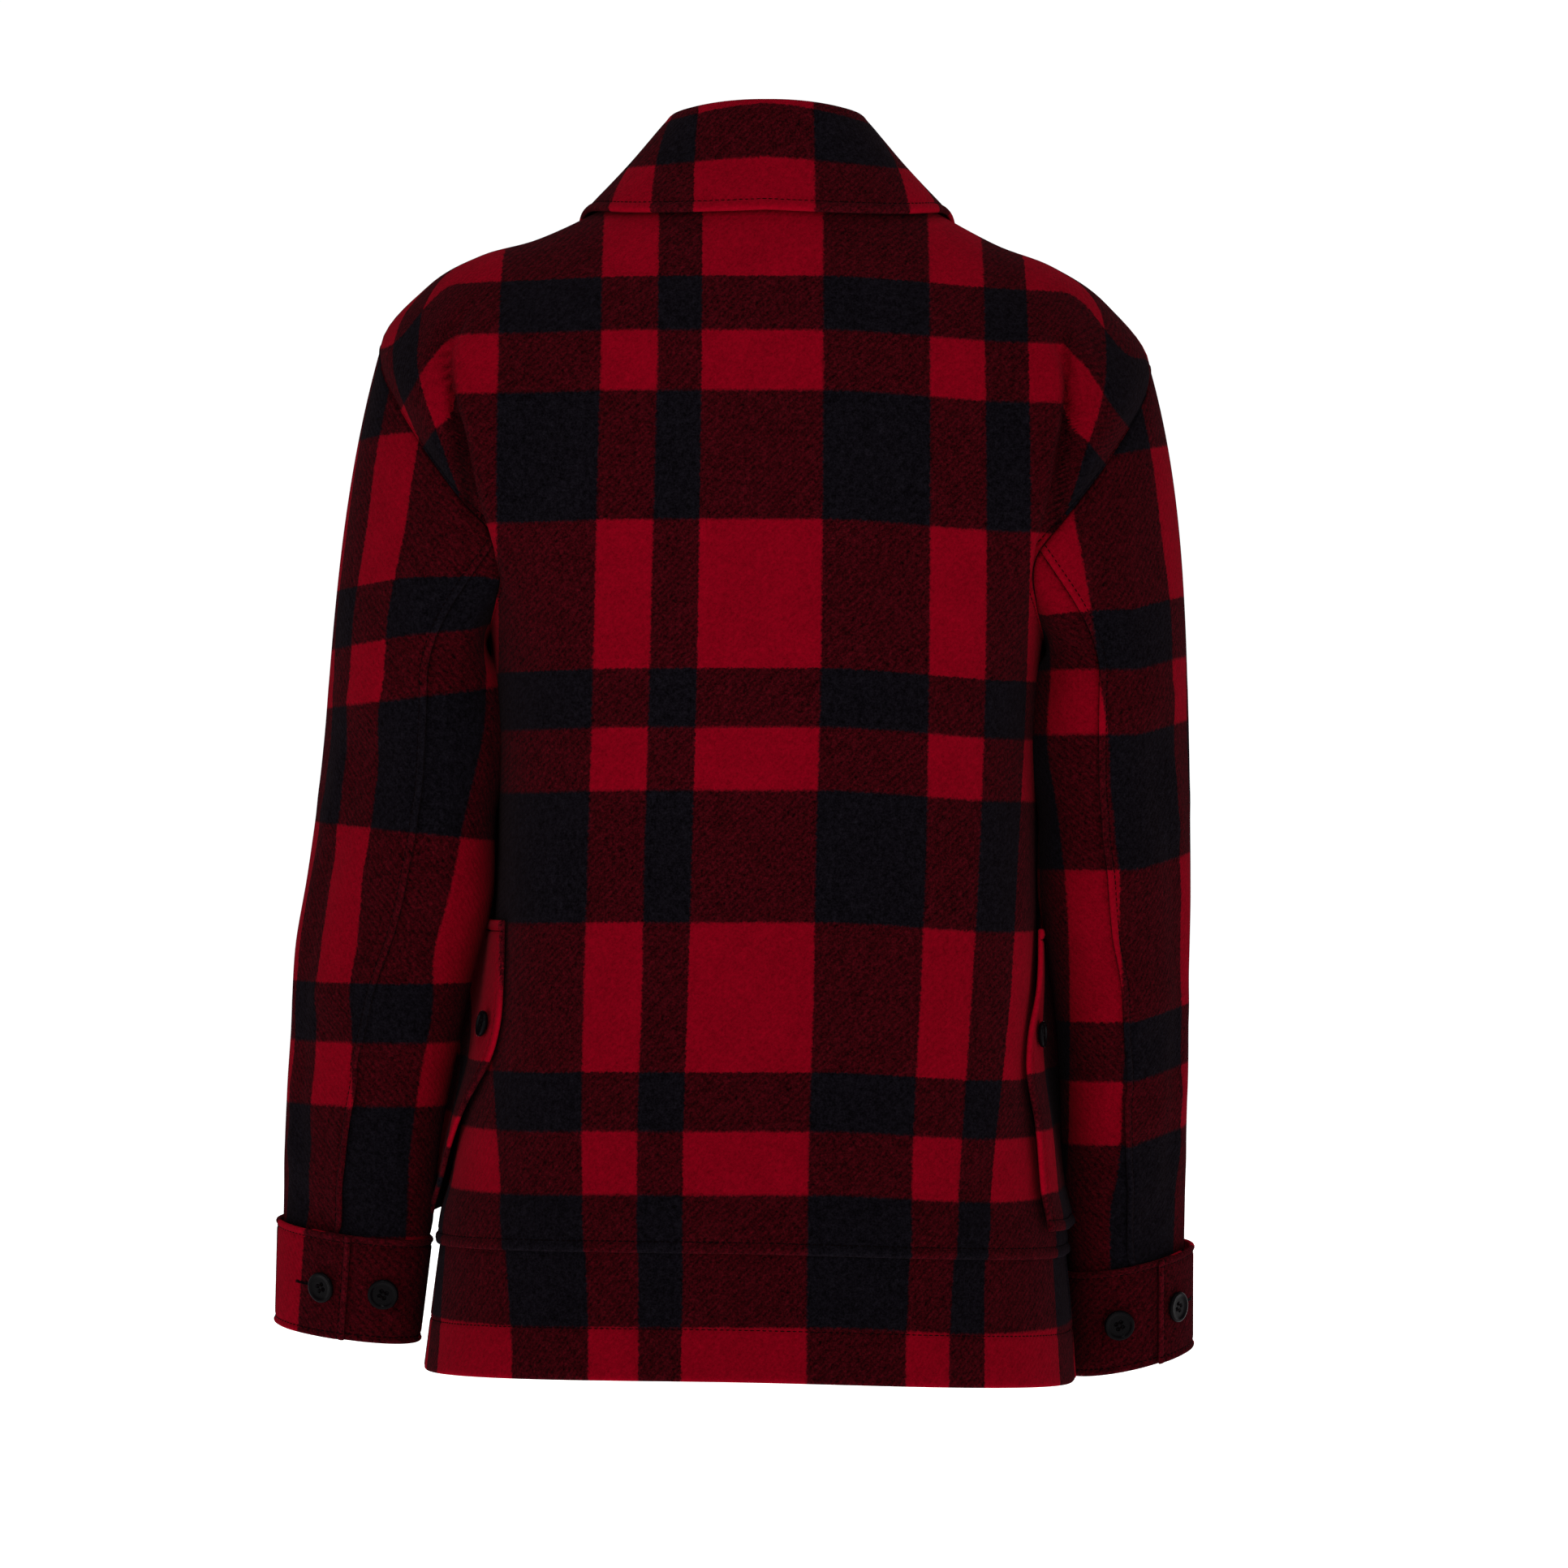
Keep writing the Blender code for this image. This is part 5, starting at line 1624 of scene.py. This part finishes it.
# A bar of thread from end to end: how far along, how wide and how high it stands, by its thickness
BAR_RINGS = (
    (0.0, 0.25, -0.55),
    (0.12, 0.9, 0.25),
    (0.5, 1.0, 0.6),
    (0.88, 0.9, 0.25),
    (1.0, 0.25, -0.55),
)
BAR_SEGMENTS = 6


def bar_shape(start, finish, thickness):
    """Points and faces of a short rounded thread between two points."""
    segments = BAR_SEGMENTS
    start = np.array(start, float)
    finish = np.array(finish, float)
    along = finish - start
    side = unit(np.cross(along, UP))
    swing = np.linspace(0, 2 * np.pi, segments, endpoint=False)
    points = []
    for share, width, lift in BAR_RINGS:
        centre = start + along * share + UP * thickness * lift
        ring = side * np.cos(swing)[:, None] + UP * np.sin(swing)[:, None]
        points.append(centre + ring * thickness * width)
    faces = []
    for a in range(0, (len(BAR_RINGS) - 1) * segments, segments):
        for j in range(segments):
            k = (j + 1) % segments
            faces.append((a + j, a + k, a + segments + k, a + segments + j))
    faces.append(tuple(range(segments)))
    faces.append(tuple(reversed(range((len(BAR_RINGS) - 1) * segments, len(BAR_RINGS) * segments))))
    return np.concatenate(points), faces


# Where the buttons sit: the first and last of the front, and the turn of each cuff's two
FRONT_BUTTON_DOWNS = (22.0, 640.0)
FRONT_BUTTON_TURN = 12.0
CUFF_BUTTON_TURNS = (18.0, -25.0)
POCKET_BUTTON_DOWN = 527.0
POCKET_BUTTON_IN = 6.5
POCKET_BUTTON_TURN = 8.0
POCKET_SHANK = 1.0 * MM

# The buttonhole that shows beside one button of each cuff: which button, and its reach in degrees
BUTTONHOLES = {1: (0, -24.0), -1: (0, -26.0)}
BUTTONHOLE_BARS = 6
BUTTONHOLE_LIP = 0.45
BUTTONHOLE_LIFT = 0.25
BUTTONHOLE_THREAD = 0.45 * MM
BUTTON_THREAD = 0.42 * MM


def cuff_place(side, which):
    """Sweep and height of one of a cuff's buttons."""
    angle, below_top, upper = CUFF_BUTTONS[side][which]
    sweep = angle + 360.0 if upper or angle < CUFF_EDGE[side] else angle
    return sweep, CUFF_TOP[side] + below_top


def button_places():
    """Every button: its node, the centre of its back, its axis, its radius, its shank and its turn."""
    places = []
    for index, down in enumerate(np.linspace(*FRONT_BUTTON_DOWNS, FRONT_BUTTONS)):
        centre = body_skin(180.0, down, FRONT_RISE)
        axis = body_normal(180.0, down)
        name = f"front_button_{index + 1}"
        places.append((name, centre, axis, BUTTON_RADIUS, GAP, FRONT_BUTTON_TURN))
    for side, word in SIDES.items():
        for index, turn in enumerate(CUFF_BUTTON_TURNS):
            sweep, below = cuff_place(side, index)
            centre = cuff_point(side, sweep, below)
            axis = cuff_normal(side, sweep, below)
            name = f"cuff_button_{word}_{index + 1}"
            places.append((name, centre, axis, BUTTON_RADIUS, GAP, turn * side))
        angle = between(POCKET, "rear_" + word, POCKET_BUTTON_DOWN) + POCKET_BUTTON_IN
        centre = pocket_skin(side, angle, POCKET_BUTTON_DOWN)
        axis = pocket_normal(side, angle, POCKET_BUTTON_DOWN)
        name = f"pocket_button_{word}"
        places.append((name, centre, axis, POCKET_BUTTON_RADIUS, POCKET_SHANK, POCKET_BUTTON_TURN))
    return places


def placed(points, centre, axis, turn):
    """Points of a shape lying on its back, set on the cloth at a centre and turned about its axis."""
    axis = unit(axis)
    across = unit(np.cross(UP, axis))
    upright = np.cross(axis, across)
    swing = np.radians(turn)
    first = across * np.cos(swing) + upright * np.sin(swing)
    second = -across * np.sin(swing) + upright * np.cos(swing)
    return centre + points[:, :1] * first + points[:, 1:2] * second + points[:, 2:] * axis


def button_threads(centre, axis, radius, shank, turn):
    """Two bars of thread from hole to hole of a button."""
    top = shank + BUTTON_WELL * BUTTON_THICKNESS
    reach = HOLE_PLACE * radius * math.sqrt(0.5)
    bars = []
    for line in (-1, 1):
        bar, faces = bar_shape((-reach, line * reach, top), (reach, line * reach, top), BUTTON_THREAD)
        bars.append((placed(bar, centre, axis, turn), faces))
    return bars


def buttonhole_threads(side):
    """Bars of thread end to end along both lips of a cuff's buttonhole."""
    which, length = BUTTONHOLES[side]
    sweep, below = cuff_place(side, which)
    bars = []
    for lip in (-BUTTONHOLE_LIP, BUTTONHOLE_LIP):
        for turn in np.linspace(0.0, length, BUTTONHOLE_BARS + 1)[:-1]:
            ends = []
            for place in (sweep + turn, sweep + turn + length / (BUTTONHOLE_BARS - 0.5)):
                lift = cuff_normal(side, place, below) * BUTTONHOLE_LIFT * MM
                ends.append(cuff_point(side, place, below + lip) + lift)
            bars.append(bar_shape(*ends, BUTTONHOLE_THREAD))
    return bars


def make_buttons():
    """Every button in its place, one piece for each, with its sewing thread as one more piece."""
    bars = []
    for node, centre, axis, radius, shank, turn in button_places():
        points, faces = button_shape(radius)
        points = placed(points + [0.0, 0.0, shank], centre, axis, turn)
        made = joined_mesh(node + "_moulded", points, faces, button_material())
        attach(made, "root")
        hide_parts(node)
        bars += button_threads(centre, axis, radius, shank, turn)
    for side in BUTTONHOLES:
        bars += buttonhole_threads(side)
    faces = []
    count = 0
    for bar, bar_faces in bars:
        faces += [tuple(v + count for v in face) for face in bar_faces]
        count += len(bar)
    points = np.concatenate([bar for bar, _ in bars])
    made = joined_mesh("button_thread", points, faces, thread_material())
    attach(made, "root")


STITCH_UNEVENNESS = 0.16
STITCH_SEED = 7
STITCH_LOOK = 0.5 * MM
STITCH_LIFT = 0.05


def stitch_tree():
    """Geometry nodes that set one rounded stitch on every point of a mesh."""
    inputs = (
        ("Geometry", "Geometry"),
        ("Stitch Length", "Float", 0.0029),
        ("Thread Radius", "Float", 0.00042),
        ("Unevenness", "Float", STITCH_UNEVENNESS),
        ("Seed", "Int", STITCH_SEED),
        ("Thread", "Material"),
    )
    outputs = (("Geometry", "Geometry"),)
    tree, source, result = new_tree("Stitches on points", "GeometryNodeTree", inputs, outputs)
    tree.is_modifier = True
    points = add_node(tree, "GeometryNodeMeshToPoints", {"Mesh": source["Geometry"]})
    ball = add_node(tree, "GeometryNodeMeshIcoSphere", {"Radius": 1.0, "Subdivisions": 1})
    along, outward = [
        add_node(
            tree, "GeometryNodeInputNamedAttribute", {"Name": name}, data_type="FLOAT_VECTOR"
        ).outputs["Attribute"]
        for name in ("along", "outward")
    ]
    axes = {"Primary Axis": along, "Secondary Axis": outward}
    turn = add_node(tree, "FunctionNodeAxesToRotation", axes, primary_axis="X", secondary_axis="Z")
    low = add_math(tree, "SUBTRACT", 1.0, source["Unevenness"])
    high = add_math(tree, "ADD", 1.0, source["Unevenness"])
    reach = {2: low, 3: high, "Seed": source["Seed"]}
    spread = add_node(tree, "FunctionNodeRandomValue", reach, data_type="FLOAT")
    half = add_math(tree, "MULTIPLY", source["Stitch Length"], 0.5)
    length = add_math(tree, "MULTIPLY", half, spread.outputs[1])
    axes = {"X": length, "Y": source["Thread Radius"], "Z": source["Thread Radius"]}
    size = add_node(tree, "ShaderNodeCombineXYZ", axes)
    setting = {
        "Points": points.outputs["Points"],
        "Instance": ball.outputs["Mesh"],
        "Rotation": turn.outputs["Rotation"],
        "Scale": size.outputs[0],
    }
    place = add_node(tree, "GeometryNodeInstanceOnPoints", setting)
    real = add_node(tree, "GeometryNodeRealizeInstances", {"Geometry": place.outputs["Instances"]})
    smooth = add_node(tree, "GeometryNodeSetShadeSmooth", {"Geometry": real.outputs["Geometry"]})
    dress = {"Geometry": smooth.outputs["Geometry"], "Material": source["Thread"]}
    dressed = add_node(tree, "GeometryNodeSetMaterial", dress)
    tree.links.new(dressed.outputs["Geometry"], result["Geometry"])
    return tree


def grown_mesh(name, points, attributes, tree, values):
    """A plain mesh that a node tree grows on points with vector attributes."""
    mesh = bpy.data.meshes.new(name + "_points")
    mesh.from_pydata(points.tolist(), [], [])
    for key, vectors in attributes.items():
        layer = mesh.attributes.new(key, "FLOAT_VECTOR", "POINT")
        layer.data.foreach_set("vector", vectors.astype(np.float32).ravel())
    holder = linked(name + "_points", mesh)
    modifier = holder.modifiers.new("grow", "NODES")
    modifier.node_group = tree
    for item in tree.interface.items_tree:
        if item.item_type == "SOCKET" and item.in_out == "INPUT" and item.name in values:
            modifier[item.identifier] = values[item.name]
    bpy.context.view_layer.update()
    grown = bpy.data.meshes.new_from_object(
        holder.evaluated_get(bpy.context.evaluated_depsgraph_get())
    )
    bpy.data.objects.remove(holder, do_unlink=True)
    grown.name = name
    return linked(name, grown)


def read_line(line, run, at, columns):
    """Columns of a kept line at lengths along it."""
    return np.stack([np.interp(at, run, line[:, k]) for k in columns], axis=-1)


def make_stitches():
    """Sewing thread along every line kept while the cloth was made."""
    sizes = bpy.context.scene.jacket_sewing
    places, along, outward = [], [], []
    for line in SEWN_LINES:
        steps = np.linalg.norm(np.diff(line[:, :3], axis=0), axis=-1)
        run = np.concatenate([[0.0], np.cumsum(steps)])
        count = int(run[-1] / sizes.stitch_pitch)
        if count < 2:
            continue
        at = (np.arange(count) + 0.5) * run[-1] / count
        normal = unit(read_line(line, run, at, range(3, 6)))
        ahead = read_line(line, run, at + STITCH_LOOK, range(3))
        behind = read_line(line, run, at - STITCH_LOOK, range(3))
        places.append(read_line(line, run, at, range(3)) + normal * STITCH_LIFT * MM)
        along.append(unit(ahead - behind))
        outward.append(normal)
    values = {
        "Stitch Length": sizes.stitch_length,
        "Thread Radius": sizes.thread_radius,
        "Unevenness": STITCH_UNEVENNESS,
        "Seed": STITCH_SEED,
        "Thread": thread_material(),
    }
    attributes = {"along": np.concatenate(along), "outward": np.concatenate(outward)}
    made = grown_mesh("topstitching", np.concatenate(places), attributes, stitch_tree(), values)
    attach(made, "root")


def colour_setting(name, description, default):
    """A colour among the settings."""
    return FloatVectorProperty(
        name=name, description=description, subtype="COLOR", size=3, min=0.0, max=1.0, default=default
    )


def length_setting(name, description, default, low, high):
    """A length among the settings, in metres."""
    return FloatProperty(
        name=name, description=description, default=default, min=low, max=high, unit="LENGTH"
    )


def level_setting(name, description, default, high, **more):
    """A level among the settings, from nothing up."""
    return FloatProperty(name=name, description=description, default=default, min=0.0, max=high, **more)


class JacketCloth(bpy.types.PropertyGroup):
    """Colours and scale of the wool."""

    red: colour_setting("Red", "Red of the yarn", (0.150, 0.0005, 0.0052))
    black: colour_setting("Black", "Black of the yarn", (0.0030, 0.0025, 0.0037))
    twill_width: length_setting(
        "Twill width", "Width of one twill line across the cloth", 0.0042, 0.001, 0.02
    )
    mixed_share: level_setting(
        "Red in mixed squares", "Share of red where red and black yarns cross", 0.150, 1.0,
        subtype="FACTOR",
    )
    sheen: level_setting("Nap sheen", "Light caught by the nap", 0.012, 1.0, subtype="FACTOR")


class JacketSewing(bpy.types.PropertyGroup):
    """Sizes of the topstitching."""

    stitch_pitch: length_setting("Stitch pitch", "From one stitch to the next", 0.0036, 0.001, 0.02)
    stitch_length: length_setting("Stitch length", "Length of thread that shows", 0.0029, 0.001, 0.02)
    thread_radius: length_setting(
        "Thread radius", "Radius of the sewing thread", 0.00038, 0.0001, 0.002
    )
    thread_colour: colour_setting("Thread", "Colour of the thread", (0.0022, 0.0007, 0.0010))


class JacketButtons(bpy.types.PropertyGroup):
    """Colour of the buttons."""

    colour: colour_setting("Button", "Colour of the buttons", (0.0024, 0.0019, 0.0024))


class JacketStage(bpy.types.PropertyGroup):
    """Light and floor of the studio."""

    backdrop: level_setting("Backdrop", "Brightness of the white backdrop at eye level", 1.05, 10.0)
    surround: level_setting("Surround light", "Brightness above the backdrop", 0.2, 10.0)
    floor_glow: level_setting("Floor glow", "Light given back by the floor", 0.8, 5.0)
    key: level_setting("Key light", "Power of the soft key light", 198.0, 5000.0, unit="POWER")
    floor_drop: length_setting("Floor drop", "From the origin down to the floor", 0.86, 0.7, 3.0)


class JACKET_OT_body(bpy.types.Operator):
    """Makes the back, its band and both fronts."""

    bl_idname = "jacket.body"
    bl_label = "Back and fronts"

    def execute(self, context):
        make_back()
        make_back_band()
        for side, word in SIDES.items():
            make_front(word, side)
        return {"FINISHED"}


class JACKET_OT_sleeves(bpy.types.Operator):
    """Makes both pieces of each sleeve."""

    bl_idname = "jacket.sleeves"
    bl_label = "Sleeves"

    def execute(self, context):
        for side, word in SIDES.items():
            make_sleeve(word, side, under=False)
            make_sleeve(word, side, under=True)
        return {"FINISHED"}


class JACKET_OT_cuffs(bpy.types.Operator):
    """Makes both cuffs."""

    bl_idname = "jacket.cuffs"
    bl_label = "Cuffs"

    def execute(self, context):
        for side, word in SIDES.items():
            make_cuff(word, side)
        return {"FINISHED"}


class JACKET_OT_collar(bpy.types.Operator):
    """Makes the collar."""

    bl_idname = "jacket.collar"
    bl_label = "Collar"

    def execute(self, context):
        make_collar()
        return {"FINISHED"}


class JACKET_OT_pockets(bpy.types.Operator):
    """Makes both patch pockets."""

    bl_idname = "jacket.pockets"
    bl_label = "Pockets"

    def execute(self, context):
        for side, word in SIDES.items():
            make_pocket(word, side)
        return {"FINISHED"}


class JACKET_OT_buttons(bpy.types.Operator):
    """Makes the buttons and their thread."""

    bl_idname = "jacket.buttons"
    bl_label = "Buttons"

    def execute(self, context):
        make_buttons()
        return {"FINISHED"}


class JACKET_OT_stitches(bpy.types.Operator):
    """Sews the topstitching along the lines kept while the cloth was made."""

    bl_idname = "jacket.stitches"
    bl_label = "Topstitching"

    def execute(self, context):
        if not SEWN_LINES:
            raise RuntimeError("The cloth has to be made before it is sewn")
        make_stitches()
        return {"FINISHED"}


class JACKET_OT_stage(bpy.types.Operator):
    """Sets the camera, the lights and the pale floor."""

    bl_idname = "jacket.stage"
    bl_label = "Stage"

    def execute(self, context):
        make_stage()
        return {"FINISHED"}


class JACKET_PT_panel(bpy.types.Panel):
    """The jacket's steps and sizes."""

    bl_label = "Mackinaw jacket"
    bl_space_type = "VIEW_3D"
    bl_region_type = "UI"
    bl_category = "Jacket"

    def draw(self, context):
        layout = self.layout
        scene = context.scene
        for group, keys in (
            (scene.jacket_cloth, ("red", "black", "twill_width", "mixed_share", "sheen")),
            (scene.jacket_sewing, ("stitch_pitch", "stitch_length", "thread_radius", "thread_colour")),
            (scene.jacket_buttons, ("colour",)),
            (scene.jacket_stage, ("backdrop", "surround", "key", "floor_glow", "floor_drop")),
        ):
            box = layout.box()
            for key in keys:
                box.prop(group, key)
        for step in STEPS:
            layout.operator(step.bl_idname)


STEPS = (
    JACKET_OT_body,
    JACKET_OT_sleeves,
    JACKET_OT_cuffs,
    JACKET_OT_collar,
    JACKET_OT_pockets,
    JACKET_OT_buttons,
    JACKET_OT_stitches,
    JACKET_OT_stage,
)
GROUPS = (
    ("jacket_cloth", JacketCloth),
    ("jacket_sewing", JacketSewing),
    ("jacket_buttons", JacketButtons),
    ("jacket_stage", JacketStage),
)

# The stage, in metres and watts: key lights behind the jacket, each with its share of the power,
# and two broad fills, each with its size and power
KEYS = (("key high", (0.25, 3.3, 2.3), 1.0), ("key low", (0.1, 3.8, 0.9), 0.75))
KEY_AIM = (0.04, 0.0, -0.30)
KEY_SPREAD = 18.0
KEY_SOFTNESS = 0.3
KEY_NARROWING = (0.44, 1.0, 1.0)
FILLS = (("top", (0.0, 0.4, 2.6), 2.4, 30.0), ("front", (-0.5, -3.4, 1.6), 1.4, 60.0))
FILL_AIM = (0.0, 0.0, -0.38)
FLOOR_REACH = 6.0
BACKDROP_HEIGHTS = (0.16, 0.42)
CAMERA_PLACE = (-0.0105, 4.0, -0.378)
CAMERA_SENSOR = 36.0
PICTURE_WIDTH = 1932 * 0.0005


def add_lamp(name, kind, place, aim, power, **settings):
    """A light at a place, turned toward its aim."""
    light = bpy.data.lights.new(name, kind)
    light.energy = power
    for key, value in settings.items():
        setattr(light, key, value)
    lamp = linked(name, light)
    lamp.location = place
    way = Vector(aim) - Vector(place)
    lamp.rotation_euler = way.to_track_quat("-Z", "Y").to_euler()
    return lamp


def make_stage():
    """A pale floor, a white surround, key and fill lights and a level camera behind the jacket."""
    sizes = bpy.context.scene.jacket_stage
    scene = bpy.context.scene
    floor, tree, shader = new_material("Pale floor")
    looks = {
        "Base Color": (0.9, 0.9, 0.9, 1.0),
        "Emission Color": (1.0, 1.0, 1.0, 1.0),
        "Emission Strength": sizes.floor_glow,
        "Roughness": 0.9,
    }
    set_inputs(tree, shader, looks)
    mesh = bpy.data.meshes.new("floor")
    square = ((-1, -1), (1, -1), (1, 1), (-1, 1))
    corners = [(x * FLOOR_REACH, y * FLOOR_REACH, -sizes.floor_drop) for x, y in square]
    mesh.from_pydata(corners, [], [(0, 1, 2, 3)])
    mesh.materials.append(floor)
    linked("floor", mesh)

    world = bpy.data.worlds.new("White surround")
    world.use_nodes = True
    tree = world.node_tree
    way = add_node(tree, "ShaderNodeTexCoord").outputs["Generated"]
    split = add_node(tree, "ShaderNodeSeparateXYZ", {0: way})
    given = {
        "Value": add_math(tree, "ABSOLUTE", split.outputs["Z"]),
        "From Min": BACKDROP_HEIGHTS[0],
        "From Max": BACKDROP_HEIGHTS[1],
        "To Min": sizes.backdrop,
        "To Max": sizes.surround,
    }
    band = add_node(tree, "ShaderNodeMapRange", given, interpolation_type="SMOOTHSTEP")
    light = {"Strength": band.outputs["Result"], "Color": (1.0, 1.0, 1.0, 1.0)}
    set_inputs(tree, tree.nodes["Background"], light)
    scene.world = world

    spot = {
        "shadow_soft_size": KEY_SOFTNESS,
        "spot_size": math.radians(KEY_SPREAD),
        "spot_blend": 1.0,
    }
    for name, place, share in KEYS:
        lamp = add_lamp(name, "SPOT", place, KEY_AIM, sizes.key * share, **spot)
        lamp.scale = KEY_NARROWING
    for name, place, size, power in FILLS:
        add_lamp(name, "AREA", place, FILL_AIM, power, size=size)

    camera = bpy.data.cameras.new("camera")
    camera.sensor_width = CAMERA_SENSOR
    camera.lens = CAMERA_SENSOR * CAMERA_PLACE[1] / PICTURE_WIDTH
    camera.dof.use_dof = False
    holder = linked("camera", camera)
    holder.location = CAMERA_PLACE
    holder.rotation_euler = (math.radians(90), 0.0, math.radians(180))
    scene.camera = holder
    scene.view_settings.view_transform = "Standard"


def register():
    for _, group in GROUPS:
        bpy.utils.register_class(group)
    for name, group in GROUPS:
        setattr(bpy.types.Scene, name, PointerProperty(type=group))
    for step in STEPS:
        bpy.utils.register_class(step)
    bpy.utils.register_class(JACKET_PT_panel)


def unregister():
    bpy.utils.unregister_class(JACKET_PT_panel)
    for step in reversed(STEPS):
        bpy.utils.unregister_class(step)
    for name, group in reversed(GROUPS):
        delattr(bpy.types.Scene, name)
        bpy.utils.unregister_class(group)


def main():
    """Makes the jacket and its stage."""
    register()
    SEWN_LINES.clear()
    for step in (
        bpy.ops.jacket.body,
        bpy.ops.jacket.sleeves,
        bpy.ops.jacket.cuffs,
        bpy.ops.jacket.collar,
        bpy.ops.jacket.pockets,
        bpy.ops.jacket.buttons,
        bpy.ops.jacket.stitches,
        bpy.ops.jacket.stage,
    ):
        if step() != {"FINISHED"}:
            raise RuntimeError("A step did not finish")
    bpy.context.view_layer.update()


if __name__ == "__main__":
    main()
